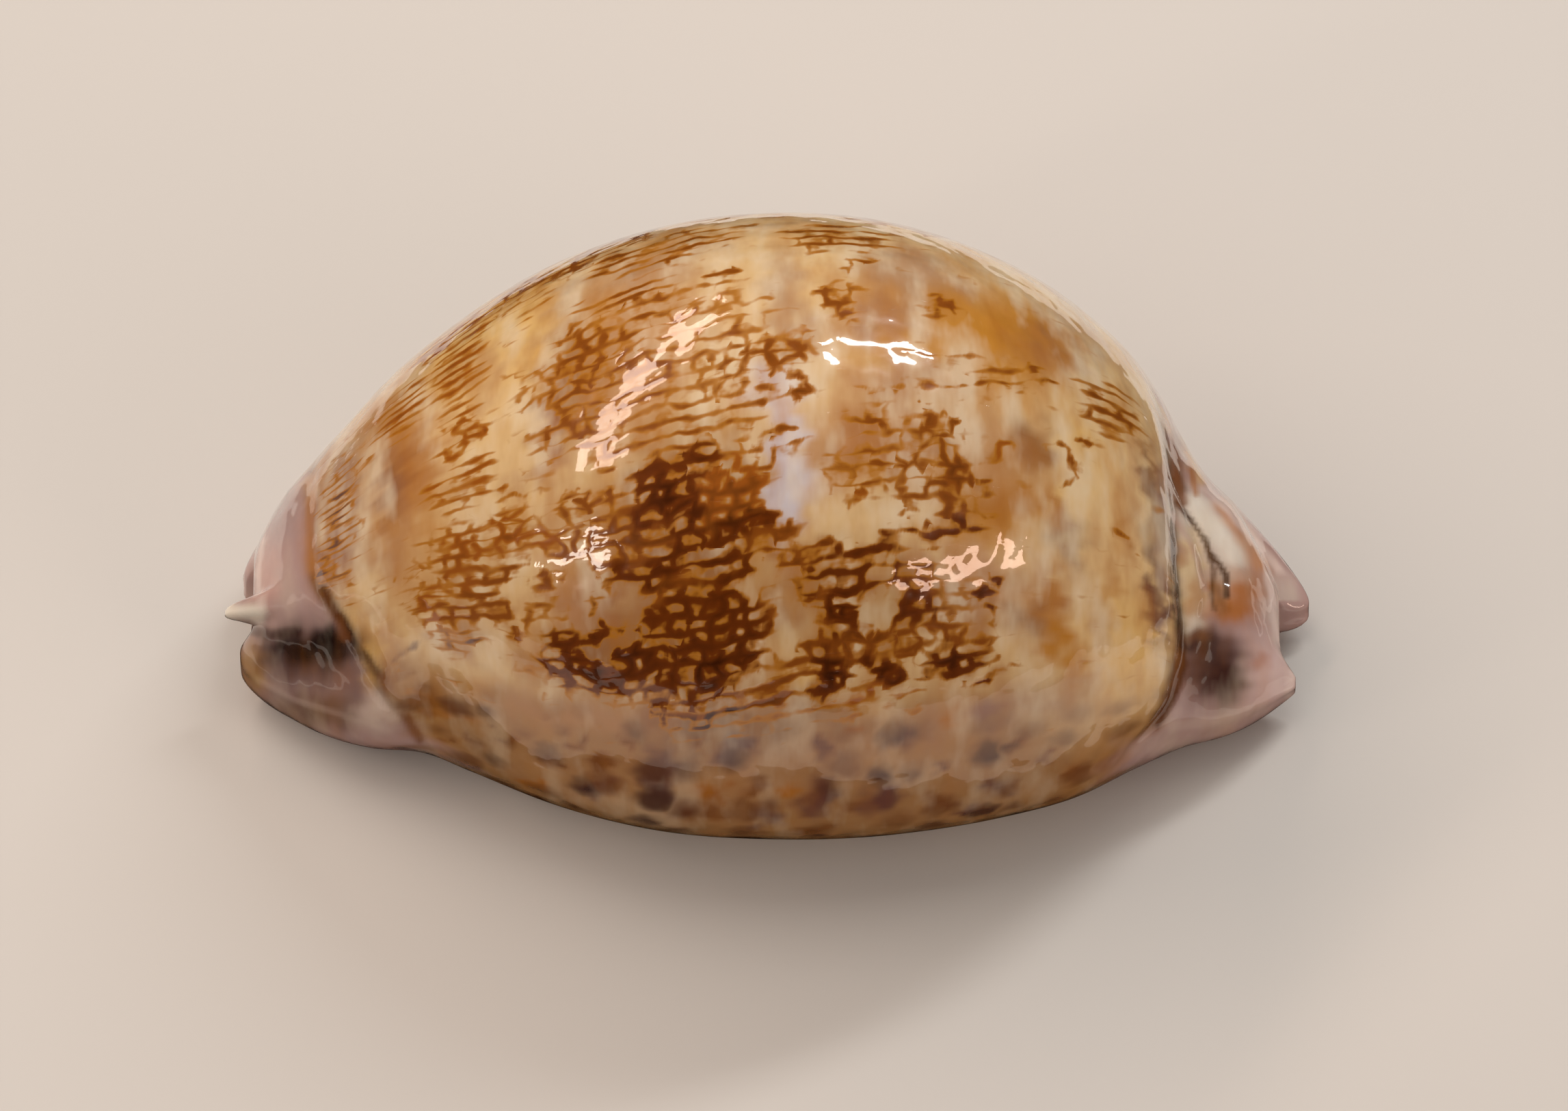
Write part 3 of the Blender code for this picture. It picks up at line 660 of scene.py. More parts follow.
END_PATCHES = (
    (LILAC, -29.9, 9.4, 1.7, 4.7, 0.75), (STRIP_CREAM, 29.0, 5.2, 1.0, 3.6, 0.9),
    (YELLOW, 29.2, 7.6, 0.6, 1.2, 0.6), (AMBER, 28.3, 6.6, 0.4, 0.8, 0.55),
    (AMBER, 29.3, 4.0, 0.6, 0.9, 0.65), (AMBER, 28.9, 2.8, 0.5, 0.4, 0.4),
    (TUBE_WHITE_AND_HIGHLIGHT, 29.1, 2.0, 0.7, 0.6, 0.6), (CANAL_ORANGE, 32.9, 4.2, 1.7, 1.9, 0.9),
    (CANAL_ORANGE, 31.7, 2.8, 1.6, 0.7, 0.85), (AMBER, 31.0, 4.2, 0.7, 1.4, 0.95),
    (BROWN, 31.2, 5.8, 0.5, 0.7, 0.8), (BROWN, 31.0, 3.9, 0.5, 1.2, 0.75),
    # The second patch, on the near lobe, is its pale lilac lightened as a painted highlight.
    (LOBE_GREY, 35.8, 3.3, 1.6, 2.2, 0.95), (NEAR_LOBE_AND_HIGHLIGHT, 34.4, -1.5, 2.2, 2.5, 0.9),
    # The hollow patches that follow, beside the posterior spire, are painted shade over the
    # pocket's own purple-brown.
    (RIM_PINK, 33.8, -0.7, 0.6, 0.6, 0.7), (HOLLOW_LILAC_AND_SHADE, 30.2, -1.3, 2.4, 2.6, 0.85),
    (HOLLOW_BROWN_AND_SHADE, 30.5, -0.8, 1.8, 1.9, 0.75), (HOLLOW_BROWN_AND_SHADE, 31.5, -2.2, 1.2, 1.5, 0.8),
    (HOLLOW_BROWN_AND_SHADE, 29.6, 0.6, 1.3, 0.8, 0.7), (BROWN, 29.2, 1.0, 0.7, 0.4, 0.5),
    # The first patch, on the posterior flange, is pale callus and partly a painted highlight.
    (FLANGE_PALE_AND_HIGHLIGHT, 27.0, -6.5, 2.8, 0.7, 0.5), (STAIN, 28.0, 11.2, 0.5, 1.1, 0.9),
    (CREAM, 29.0, 14.1, 0.4, 1.1, 0.6), (BEAK_PINK, -34.5, 5.2, 0.8, 2.4, 0.75),
    (BEAK_GREY, -33.8, 10.2, 1.5, 2.3, 0.6), (BEAK_GREY, -36.2, 5.5, 0.6, 1.7, 0.6),
    (FLANGE_BROWN, -30.6, -4.1, 4.5, 1.3, 0.9), (FLANGE_TAN, -35.5, -1.3, 1.0, 1.6, 0.95),
    # The hollow patches that follow, under the anterior beak, are painted shade over a dark stain.
    (CREAM, -35.2, -1.9, 0.4, 0.4, 0.7), (HOLLOW_BROWN_AND_SHADE, -31.7, -0.7, 3.9, 2.1, 0.85),
    (HOLLOW_DARK_SHADE, -31.5, 0.1, 3.1, 1.1, 0.97), (HOLLOW_DARK_SHADE, -29.7, 0.7, 1.8, 0.9, 0.95),
    # The second patch, on the anterior flange, is pale callus and partly a painted highlight.
    (HOLLOW_LILAC_AND_SHADE, -28.1, -2.2, 1.6, 0.9, 0.6), (FLANGE_PALE_AND_HIGHLIGHT, -26.7, -4.4, 1.5, 1.2, 0.95),
    (YELLOW, -27.0, -0.5, 0.7, 1.8, 0.6), (BROWN, -23.2, -3.2, 1.0, 0.9, 0.7),
)

# Patches of brown lines: (colour, u, v, half length, half height, amount, share of crossbars).
INK_PATCHES = (
    (RUST, -18.6, -11.4, 5.0, 2.2, 0.62, 0.9),
    (RUST, -20.5, -15.1, 3.3, 3.8, 0.48, 0.9), (CHESTNUT, -19.3, -17.5, 4.7, 2.1, 0.62, 0.8),
    (CHESTNUT, -17.2, -19.7, 0.8, 1.5, 0.6, 0.9), (RUST, -22.9, -16.2, 1.1, 3.8, 0.6, 0.9),
    (LILACINK, -21.4, -21.1, 1.6, 1.6, 0.5, 0.9), (CHESTNUT, -14.8, -15.7, 1.1, 1.7, 0.6, 0.9),
    (CHESTNUT, -7.7, -6.1, 5.7, 2.6, 0.5, 0.15), (CHESTNUT, -11.1, -9.4, 3.5, 0.8, 0.6, 0.9),
    (DARK, -5.9, -8.9, 3.1, 1.7, 0.85, 0.8), (DARK, -6.6, -11.0, 2.6, 2.3, 1.05, 1.0),
    (RUST, -2.6, -12.0, 2.6, 2.9, 0.95, 1.0), (DARK, -3.0, -13.8, 4.3, 1.7, 0.95, 1.0),
    (CHESTNUT, 0.3, -14.5, 2.8, 1.9, 0.8, 1.0), (CHESTNUT, -9.2, -11.9, 3.3, 2.1, 0.7, 0.8),
    (CHESTNUT, -12.5, -11.7, 2.8, 2.2, 0.55, 1.0), (DARK, -5.9, -15.9, 6.6, 1.4, 0.82, 0.6),
    (CHESTNUT, -9.2, -16.5, 4.3, 2.0, 0.6, 0.5), (DARK, -3.0, -19.2, 3.1, 2.9, 0.78, 0.7),
    (DARK, -6.3, -19.5, 2.8, 3.0, 0.72, 0.7), (DARK, -11.8, -18.8, 0.9, 3.2, 0.85, 1.0),
    (DARK, -10.6, -22.7, 3.2, 2.0, 1.1, 1.0), (DARK, -7.0, -22.7, 2.8, 1.7, 1.0, 0.9),
    (DARK, -3.7, -24.3, 2.2, 1.9, 1.15, 1.0), (DARK, -1.8, -22.1, 2.3, 1.7, 0.85, 0.8),
    (CHESTNUT, -0.7, -26.4, 4.3, 1.3, 0.65, 0.1), (CHESTNUT, 1.2, -24.7, 2.4, 1.7, 0.55, 0.5),
    (CHESTNUT, -4.0, -26.4, 2.8, 0.8, 0.6, 0.1), (CHESTNUT, 2.4, -16.4, 3.5, 1.3, 0.8, 0.5),
    (DARK, 6.0, -17.0, 4.3, 0.7, 0.75, 0.2), (DARK, 6.4, -18.9, 5.2, 1.3, 0.78, 0.5),
    (DARK, 12.6, -16.3, 2.4, 0.6, 0.85, 0.1), (CHESTNUT, 3.1, -19.9, 2.4, 1.4, 0.75, 0.9),
    (DARK, 5.7, -21.3, 2.1, 2.7, 0.85, 0.9), (CHESTNUT, 6.0, -23.3, 2.8, 2.5, 0.75, 0.9),
    (DARK, 4.2, -25.2, 1.2, 2.4, 1.05, 1.0), (CHESTNUT, 8.3, -23.7, 2.6, 2.3, 0.75, 0.9),
    (DARK, 8.2, -26.0, 1.4, 1.3, 1.1, 1.0), (DARK, 10.0, -21.7, 1.8, 1.7, 0.85, 0.9),
    (CHESTNUT, 12.3, -23.5, 1.6, 0.9, 0.8, 0.6), (DARK, 12.9, -26.4, 2.0, 1.3, 0.95, 0.8),
    (DARK, 14.9, -27.5, 1.3, 0.5, 0.8, 0.2), (CHESTNUT, 14.9, -25.3, 0.9, 1.4, 0.6, 0.9),
    (DARK, 15.4, -21.2, 0.7, 1.5, 0.85, 1.0), (CHESTNUT, 9.3, -12.4, 1.0, 3.1, 0.62, 1.0),
    (CHESTNUT, 10.7, -10.0, 1.2, 2.0, 0.55, 1.0), (CHESTNUT, 12.6, -12.0, 1.3, 2.5, 0.78, 1.0),
    (CHESTNUT, 14.0, -12.5, 1.2, 0.6, 0.7, 0.1), (CHESTNUT, 12.1, -14.8, 2.6, 1.0, 0.7, 0.9),
    (CHESTNUT, 8.3, -15.1, 2.8, 0.8, 0.7, 0.3), (CHESTNUT, 7.8, -8.5, 2.4, 0.7, 0.6, 0.4),
    (CHESTNUT, 12.3, -8.2, 0.4, 0.8, 0.7, 1.0), (CHESTNUT, 10.8, -8.2, 0.3, 1.3, 0.7, 1.0),
    (RUST, 6.0, -13.8, 0.3, 1.1, 0.7, 1.0), (RUST, 2.2, -13.2, 0.7, 1.2, 0.7, 1.0),
    (CHESTNUT, -0.2, -5.7, 2.1, 0.4, 0.55, 0.0), (CHESTNUT, 1.0, -8.3, 1.7, 0.3, 0.6, 0.0),
    (CHESTNUT, 1.2, -9.8, 2.4, 0.4, 0.62, 0.3), (CHESTNUT, -2.6, -6.5, 2.8, 0.8, 0.5, 0.1),
    (CHESTNUT, -9.2, 3.9, 5.2, 3.0, 0.5, 0.8), (CHESTNUT, -9.2, -1.0, 5.4, 2.5, 0.52, 0.25),
    (CHESTNUT, -13.0, 2.4, 0.9, 3.7, 0.7, 1.0), (CHESTNUT, -11.5, 0.0, 1.7, 1.9, 0.62, 0.8),
    (CHESTNUT, -9.6, 7.0, 3.8, 1.3, 0.5, 0.0), (CHESTNUT, -3.0, 6.0, 1.4, 0.9, 0.62, 0.0),
    (CHESTNUT, -2.3, -2.5, 1.3, 2.3, 0.62, 1.0), (CHESTNUT, 0.3, -2.0, 2.5, 1.8, 0.62, 1.0),
    (CHESTNUT, 2.1, -4.3, 0.5, 1.9, 0.7, 1.0), (CHESTNUT, -1.6, -5.1, 2.8, 0.7, 0.55, 0.1),
    (CHESTNUT, 5.5, 9.9, 3.1, 2.6, 0.52, 0.15), (CHESTNUT, 3.6, 11.4, 2.8, 1.4, 0.5, 0.0),
    (CHESTNUT, 5.0, 2.2, 1.4, 2.0, 0.58, 0.9), (CHESTNUT, 6.2, 6.1, 0.8, 1.2, 0.5, 0.9),
    (CHESTNUT, 12.1, 1.6, 0.9, 1.3, 0.62, 0.8), (CHESTNUT, 16.8, -4.4, 2.2, 0.9, 0.5, 0.4),
    (CHESTNUT, 13.5, -3.5, 1.2, 0.6, 0.5, 0.3), (CHESTNUT, 10.7, -2.8, 1.1, 0.7, 0.4, 0.3),
    (CHESTNUT, 10.7, -5.5, 5.2, 0.2, 0.5, 0.0), (CHESTNUT, 17.8, -5.4, 3.3, 0.3, 0.5, 0.0),
    (CHESTNUT, 23.7, -6.1, 2.6, 2.9, 0.5, 0.1), (CHESTNUT, 20.8, -11.5, 0.4, 1.3, 0.62, 1.0),
    (CHESTNUT, 22.0, -10.3, 0.3, 1.1, 0.6, 1.0), (CHESTNUT, 25.1, -15.3, 0.7, 0.3, 0.62, 0.0),
    (RUST, 15.9, -10.9, 1.1, 0.5, 0.55, 0.5), (RUST, 9.7, -29.1, 1.7, 0.5, 0.6, 0.0),
    (RUST, 5.5, -28.1, 2.4, 0.9, 0.62, 0.1), (RUST, 8.3, -27.6, 1.9, 0.5, 0.5, 0.0),
    (CHESTNUT, 0.3, -28.9, 4.7, 1.9, 0.42, 0.3), (DARK, -7.0, -26.5, 0.5, 1.9, 0.8, 1.0),
    (PURPLEINK, -4.4, -27.5, 3.3, 0.4, 0.75, 0.0), (RUST, -21.0, 8.9, 1.9, 7.0, 0.6, 0.05),
    (RUST, -20.5, 0.0, 1.3, 2.4, 0.62, 0.9), (RUST, -20.7, -5.2, 2.3, 2.6, 0.58, 0.2),
    (RUST, -17.6, -7.8, 1.2, 0.6, 0.6, 0.9), (RUST, -25.2, 9.0, 2.2, 3.6, 0.5, 0.0),
    (LILACINK, -29.5, 0.2, 1.6, 10.9, 0.4, 0.55), (LILACINK, -30.4, -6.0, 1.0, 6.2, 0.4, 0.5),
    (CHESTNUT, -6.3, 12.0, 4.5, 2.9, 0.5, 0.05), (CHESTNUT, -10.6, 13.2, 1.6, 1.8, 0.6, 0.3),
    (CHESTNUT, -3.0, 11.9, 0.9, 1.5, 0.55, 0.3), (RUST, -15.3, 11.9, 1.4, 1.6, 0.3, 0.0),
    (DARK, -11.1, -22.1, 4.3, 2.8, 0.95, 1.0), (DARK, -5.9, -22.7, 3.8, 2.6, 0.9, 1.0),
    (CHESTNUT, -6.8, -15.5, 8.0, 6.4, 0.75, 0.9), (CHESTNUT, 5.0, -21.2, 8.0, 3.9, 0.7, 0.9),
    (CHESTNUT, -11.5, 0.0, 4.3, 6.9, 0.55, 0.8), (CHESTNUT, -5.9, 0.1, 7.1, 5.3, 0.42, 0.4),
    (CHESTNUT, 8.8, -11.9, 5.2, 4.0, 0.45, 0.6), (CHESTNUT, -19.1, -14.6, 5.7, 4.5, 0.55, 0.9),
)

# The photograph doesn't show the far side, so its net is a guess in the manner of the near side.
FAR_INK_PATCHES = (
    (CHESTNUT, -13.5, 18.5, 6.0, 4.2, 0.62, 0.8), (DARK, -9.0, 20.0, 3.4, 2.6, 0.72, 0.9),
    (CHESTNUT, -1.5, 19.5, 4.8, 3.4, 0.6, 0.7), (DARK, 5.5, 19.0, 3.6, 3.2, 0.78, 0.9),
    (CHESTNUT, 9.5, 17.2, 5.2, 3.6, 0.62, 0.7), (CHESTNUT, 16.5, 16.8, 3.6, 3.6, 0.58, 0.5),
    (RUST, -21.0, 17.5, 3.2, 5.0, 0.55, 0.3), (RUST, 21.5, 13.5, 2.2, 3.4, 0.5, 0.2),
    (CHESTNUT, 1.5, 24.0, 7.0, 1.6, 0.5, 0.3), (CHESTNUT, -12.0, 24.5, 5.0, 1.6, 0.5, 0.3),
)

# Bare places in the net: (u, v, half length, half height).
BARE_PLACES = (
    (1.9, -21.1, 1.6, 1.8), (-0.4, -17.9, 0.9, 1.6), (1.7, -23.3, 1.2, 0.8),
    (7.8, -21.3, 1.3, 1.5), (-12.9, -17.0, 1.4, 2.8), (-9.7, -18.4, 1.5, 1.8),
    (-10.6, -21.2, 2.1, 0.6), (-11.1, -8.3, 2.8, 0.7), (-2.6, -10.5, 0.7, 0.6),
    (10.2, -17.2, 1.6, 0.5), (10.4, -14.7, 1.0, 0.5), (8.1, -18.8, 0.9, 0.6),
    (5.5, -15.2, 3.8, 1.4), (1.7, -12.6, 1.4, 1.7), (-16.7, -16.1, 0.9, 2.0),
    (-17.0, -7.8, 0.7, 0.1), (-14.8, -14.0, 0.7, 0.8), (-14.5, 19.0, 1.3, 1.6),
    (2.5, 18.0, 1.2, 2.2), (8.5, 19.5, 1.5, 1.2),
)

# Soft round spots along the margin: (colour, u, v, radius).
MARGIN_SPOTS = (
    (BROWN, -14.9, -32.2, 0.6), (BROWN, -17.9, -30.8, 0.6), (BROWN, -19.0, -29.2, 0.4),
    (BROWN, -10.9, -31.7, 0.8), (PURPLE, -7.3, -30.9, 1.2), (BROWN, -4.8, -29.1, 0.5),
    (PURPLE, -2.0, -30.4, 1.1), (BROWN, 3.9, -31.6, 0.7), (AMBER, -24.0, -28.0, 0.9),
    (BROWN, -22.1, -33.3, 0.4), (BROWN, -20.6, -32.6, 0.4), (AMBER, -15.9, -35.3, 0.7),
    (BROWN, -11.8, -34.0, 0.7), (PURPLE, -7.3, -33.7, 1.1), (PURPLE, -3.4, -34.1, 0.7),
    (BROWN, -0.9, -34.5, 0.6), (BROWN, 3.5, -35.2, 0.7), (BROWN, -12.3, -38.3, 0.6),
    (PURPLE, 9.3, -31.9, 1.0), (PURPLE, 11.7, -34.6, 0.5), (AMBER, 12.6, -31.0, 0.7),
    (AMBER, 6.0, -29.8, 0.4), (PURPLE, 3.8, -36.5, 0.9), (PURPLE, 8.1, -36.4, 1.1),
    (BROWN, 11.6, -38.3, 0.9), (PURPLE, 16.1, -38.5, 1.0), (BROWN, 17.5, -38.3, 0.5),
    (BROWN, 20.9, -39.0, 0.6), (BROWN, 19.4, -36.6, 0.6), (BROWN, 24.0, -39.1, 0.5),
    (LILAC, 14.9, -30.1, 0.9), (BROWN, 17.1, -33.8, 0.5), (BROWN, -0.7, -36.3, 0.7),
    (BROWN, -22.9, -30.1, 0.5), (PURPLE, -20.5, -37.1, 0.5), (BROWN, -25.2, -31.2, 0.4),
    (BROWN, -26.6, -24.0, 0.4), (PURPLE, -24.8, -22.0, 0.4), (BROWN, -5.9, -35.7, 0.7),
    (AMBER, 1.2, -34.4, 0.6), (BROWN, 6.0, -37.3, 0.7), (PURPLE, 14.0, -39.9, 0.6),
    (BROWN, -9.2, -28.8, 0.4), (BROWN, -12.9, -29.7, 0.4), (PURPLE, -7.0, -32.4, 1.2),
    (BROWN, -11.1, -31.7, 0.8), (AMBER, -3.6, -34.0, 0.9), (PURPLE, 3.4, -35.1, 1.2),
    (PURPLE, 7.5, -36.7, 1.2), (BROWN, -4.1, -36.0, 1.0), (BROWN, 3.3, -39.4, 1.1),
    (PURPLE, 0.2, -37.1, 1.0), (PURPLE, -11.3, -33.9, 0.9), (BROWN, -14.9, -32.3, 0.6),
    (PURPLE, -2.4, -30.3, 0.9), (PURPLE, 3.9, -31.7, 0.8),
)

# Waves, in millimetres, that keep the patches' rims from looking drawn with compasses.
WAVE, RIPPLE = 0.45, 0.25
wavy_u = u + WAVE * np.sin(1.9 * v + 0.7 * u) + RIPPLE * np.sin(4.1 * v - 1.3 * u)
wavy_v = v + WAVE * np.sin(1.3 * u + 0.4 * v) + RIPPLE * np.sin(3.3 * u + 1.7 * v)

# How sharply a patch ends, and how sharply a bare place does.
SOFT, CRISP = 1.5, 3


def patch(map_x, map_y, place, sharpness=SOFT):
    """1 in the middle of a patch, a half on its rim and 0 well outside it."""
    middle_x, middle_y, half_length, half_height = place
    away = ((map_x - middle_x) / half_length) ** 2 + ((map_y - middle_y) / half_height) ** 2
    return np.exp(-(away ** sharpness) * math.log(2))


def tint(base, hex_colour, amount):
    """The base colours, taken towards another colour by the amount."""
    return base + (np.array(linear(hex_colour)) - base) * amount[..., None]


def near_lips(full, end):
    """1 on the outside up to one share of a ring from either lip, and 0 past another."""
    return on_outside * (1 - ramp(from_lip, full, end))


# How far the pale base, the unlined low flank, the spots and the tan margin reach from the lips.
BASE_REACH, UNLINED_REACH, SPOTTED_REACH, MARGIN_REACH = (
    (0.08, 0.16), (0.2, 0.25), (0.22, 0.29), (0.24, 0.31),
)
# How firmly the margin, its spots and the stained creases cover what is under them.
FIRM = 0.85
ground = np.ones((rings, ring_points, 4)) * np.array(linear(CREAM))
margin = near_lips(*MARGIN_REACH)
ground = tint(ground, MARGIN_TAN, FIRM * margin)
for hex_colour, *place, strength in GROUND_PATCHES:
    ground = tint(ground, hex_colour, strength * patch(wavy_u, wavy_v, place))
for hex_colour, u0, v0, radius in MARGIN_SPOTS:
    ground = tint(ground, hex_colour, FIRM * patch(wavy_u, wavy_v, (u0, v0, radius, radius)))

# Faint lines run over most of the back. Where they are dense the enamel between them is stained.
# Where two patches meet, the one with more ink gives the colour and the crossbars.
LINES_EVERYWHERE = 0.03
INK_STRENGTH = 1.2
THINNEST_PATCH = 0.45
HANDOVER = 0.1
STAINED_AMOUNT, STAINED_BY_INK = 0.5, (0.4, 1.0)
ink = np.zeros_like(u)
bars = np.zeros_like(u)
ink_colour = np.ones((rings, ring_points, 4)) * np.array(linear(CHESTNUT))
for hex_colour, *place, half_height, amount, crossbars in INK_PATCHES + FAR_INK_PATCHES:
    own = patch(wavy_u, wavy_v, (*place, max(half_height, THINNEST_PATCH)))
    stronger = ramp(amount * own - ink, -HANDOVER, HANDOVER)
    bars += (crossbars - bars) * stronger
    ink_colour = tint(ink_colour, hex_colour, stronger)
    ink = np.maximum(ink, INK_STRENGTH * amount * own)
for place in BARE_PLACES:
    ink *= 1 - patch(wavy_u, wavy_v, place, CRISP)
ground = tint(ground, STAINED, STAINED_AMOUNT * ramp(ink, *STAINED_BY_INK))

# The base is pale, and the ends are lilac beyond the creases. On the flanks, where the creases
# have run out, the lilac sets in along a wavy front and over some millimetres.
LILAC_SETS_IN = (28, 32)
CREASE_STAIN_WIDTH = 0.42
DRIFT, DRIFT_RIPPLE = 1.3, 0.8
FRONT_START, FRONT_END = -0.3, 0.6
SOONER, LATER = 3.0, 2.5
in_slot = 1.0 - on_outside
ground = tint(ground, BASE_PALE, near_lips(*BASE_REACH))
ground = tint(ground, BASE_PALE, in_slot)
ground = tint(ground, BEAK_LILAC, in_slot * ramp(abs(ring_x), *LILAC_SETS_IN))
past_posterior, past_anterior = past_creases(ring_x, ring_w)
creased = window(ring_w, *CREASED)
blurred = 1 - creased
drift = DRIFT * np.sin(0.8 * v + 0.35 * u) + DRIFT_RIPPLE * np.sin(1.9 * v - 0.5 * u)
drift = blurred * drift
front = FRONT_START - SOONER * blurred, FRONT_END + LATER * blurred
beyond = on_outside * np.maximum(
    ramp(past_posterior + drift, *front), ramp(past_anterior + drift, *front),
)
ground = tint(ground, BEAK_LILAC, beyond)
stain = on_outside * creased * np.maximum(
    bump(past_posterior, 0, CREASE_STAIN_WIDTH), bump(past_anterior, 0, CREASE_STAIN_WIDTH),
)
ground = tint(ground, CREASE_BROWN, FIRM * stain)

# The ends' colours, painted shade and highlights among them, lie only on what faces the view, and
# fade where it turns away.
END_WAVE, END_RIPPLE = 0.16, 0.1
STROKE_WAVER, STROKE_SHARPNESS = 0.2, 3
TURNED_AWAY = (-0.15, 0.25)
sine, cosine = math.sin(VIEW_ELEVATION), math.cos(VIEW_ELEVATION)
across = points[..., 0] / MM
upwards = (points[..., 1] * sine + points[..., 2] * cosine) / MM
facing_away = ring_normals[..., 0] * cosine - ring_normals[..., 1] * sine
in_view = on_outside * (1 - ramp(facing_away, *TURNED_AWAY))
wavy_across = across + END_WAVE * np.sin(2.7 * upwards + 1.3 * across)
wavy_across += END_RIPPLE * np.sin(6.1 * upwards)
wavy_upwards = upwards + END_WAVE * np.sin(2.3 * across - 1.1 * upwards)
wavy_upwards += END_RIPPLE * np.sin(5.3 * across)
waver = STROKE_WAVER * np.sin(2.9 * upwards + 1.7 * across)
uneven = 1 + waver * np.sin(1.3 * across - 2.1 * upwards)
for hex_colour, *place, strength in END_PATCHES:
    covered = patch(wavy_across, wavy_upwards, place)
    ground = tint(ground, hex_colour, strength * in_view * covered)
for hex_colour, half_width, strength, places in END_STROKES:
    nearest = np.full_like(across, np.inf)
    for (a0, b0), (a1, b1) in zip(places, places[1:]):
        long_a, long_b = a1 - a0, b1 - b0
        part = ((across - a0) * long_a + (upwards - b0) * long_b) / (long_a ** 2 + long_b ** 2)
        part = np.clip(part, 0, 1)
        from_stroke = np.hypot(across - a0 - part * long_a, upwards - b0 - part * long_b)
        nearest = np.minimum(nearest, from_stroke)
    covered = np.exp(-((nearest / half_width / uneven) ** STROKE_SHARPNESS))
    ground = tint(ground, hex_colour, strength * in_view * covered)

# The lines end on the near flank, on the ends and in the slot. There the ink is below nothing, so
# that the noise added to it later brings none back. Ends and margins have fainter clouds.
LINES_END = (-27, -32)
INK_HELD_BACK = 0.6
CALM_ENDS, CALM_MARGIN = 0.7, 0.55
unlined = near_lips(*UNLINED_REACH)
ink = (ink + LINES_EVERYWHERE) * (1 - beyond) * (1 - ramp(v, *LINES_END)) * (1 - unlined)
ink -= INK_HELD_BACK * np.maximum(np.maximum(beyond, unlined), in_slot)
calm = np.maximum(CALM_ENDS * np.maximum(beyond, in_slot), CALM_MARGIN * margin)
set_attribute("map place", np.stack([u, v, 0 * u], axis=-1))
set_attribute("ground", ground)
set_attribute("cloudiness", 1 - calm)
set_attribute("ink", ink)
set_attribute("ink colour", ink_colour)
set_attribute("crossbars", bars)
set_attribute("margin", near_lips(*SPOTTED_REACH) * (1 - beyond))

# Aragonite enamel, laid in thin coats by the mantle: a clear wet gloss over cloudy colour, with
# the brown lines sunk a little under the surface so their edges glow amber. Pitches, sizes and
# spacings are in millimetres, and the scales of the noises are per millimetre. The shuffles give
# each row of lines and each band of crossbars between them a noise of its own.
LINE_PITCH = 1.2
BAR_PITCH = 1.3
CELL_SIZE = 1.7
SPOT_SPACING = 3.3
ROW_SHUFFLE, BAND_SHUFFLE = 7.31, 37.0
GLOW_AMBER = "#b0701c"
PALE_STREAK = "#e8d8ba"
SPOT_PURPLE = "#3d2422"
DEEP_BROWN = "#2c1004"

enamel.use_nodes = True
tree = enamel.node_tree
tree.nodes.clear()


def read(name, give="Fac"):
    """One of the mesh's attributes."""
    return add(tree, "ShaderNodeAttribute", give=give, attribute_name=name)


def noise(vector, scale, detail, give=0):
    """Soft noise at the vector, around a half: a number, or a colour to shift places by."""
    inputs = {"Vector": vector, "Scale": scale, "Detail": detail}
    return add(tree, "ShaderNodeTexNoise", inputs, give=give)


def shifted(vector, by, reach):
    """The vector, moved by a noise's colour times the reach."""
    inputs = {0: by, 1: reach, 2: vector}
    return add(tree, "ShaderNodeVectorMath", inputs, operation="MULTIPLY_ADD")


def remap(value, start, end, low=0.0, high=1.0, kind="LINEAR"):
    """The value, taken from one span to another and held there."""
    return add(tree, "ShaderNodeMapRange", {
        "Value": value, "From Min": start, "From Max": end, "To Min": low, "To Max": high,
    }, interpolation_type=kind)


def between(share, first, second):
    """The first number, taken towards the second by the share."""
    return add(tree, "ShaderNodeMix", {0: share, 2: first, 3: second}, data_type="FLOAT")


def mixed(share, first, second):
    """The first colour, taken towards the second by the share."""
    return add(tree, "ShaderNodeMix", {0: share, 6: first, 7: second}, give=2, data_type="RGBA")


# Long lines run along the map, one to each row. They wander a little, in two sizes.
map_place = read("map place", "Vector")
ink_amount = read("ink")
bar_share = read("crossbars")
quiver = noise(map_place, 0.8, 0.8, give="Color")
wander = noise(map_place, 0.25, 1.0, give="Color")
wandered = shifted(map_place, wander, (1.4, 1.6, 0.0))
quivered = shifted(wandered, quiver, (1.0, 0.8, 0.0))
moved = add(tree, "ShaderNodeSeparateXYZ", {0: quivered}).node.outputs
row_place = calc(tree, "DIVIDE", moved["Y"], LINE_PITCH)
row = calc(tree, "FLOOR", row_place)
off_row = calc(tree, "SUBTRACT", calc(tree, "FRACT", row_place), 0.5)
row_distance = calc(tree, "MULTIPLY", calc(tree, "ABSOLUTE", off_row), LINE_PITCH)

# Crossbars join each pair of lines at places of their own.
band = calc(tree, "FLOOR", calc(tree, "ADD", row_place, 0.5))
band_shift = add(tree, "ShaderNodeTexWhiteNoise", {"W": band}, noise_dimensions="1D")
band_start = calc(tree, "MULTIPLY", band_shift, BAND_SHUFFLE)
bar_place = calc(tree, "MULTIPLY_ADD", moved["X"], 1 / BAR_PITCH, band_start)
bar_key = add(tree, "ShaderNodeCombineXYZ", {0: calc(tree, "FLOOR", bar_place), 1: band})
bar_chance = add(
    tree, "ShaderNodeTexWhiteNoise", {"Vector": bar_key}, noise_dimensions="2D",
).node.outputs
bar_middle = calc(tree, "MULTIPLY_ADD", bar_chance["Color"], 0.5, 0.25)
off_bar = calc(tree, "SUBTRACT", calc(tree, "FRACT", bar_place), bar_middle)
bar_missing = calc(tree, "GREATER_THAN", bar_chance["Value"], bar_share)
to_bar = calc(tree, "ABSOLUTE", off_bar)
bar_distance = calc(tree, "MULTIPLY_ADD", to_bar, BAR_PITCH, bar_missing)

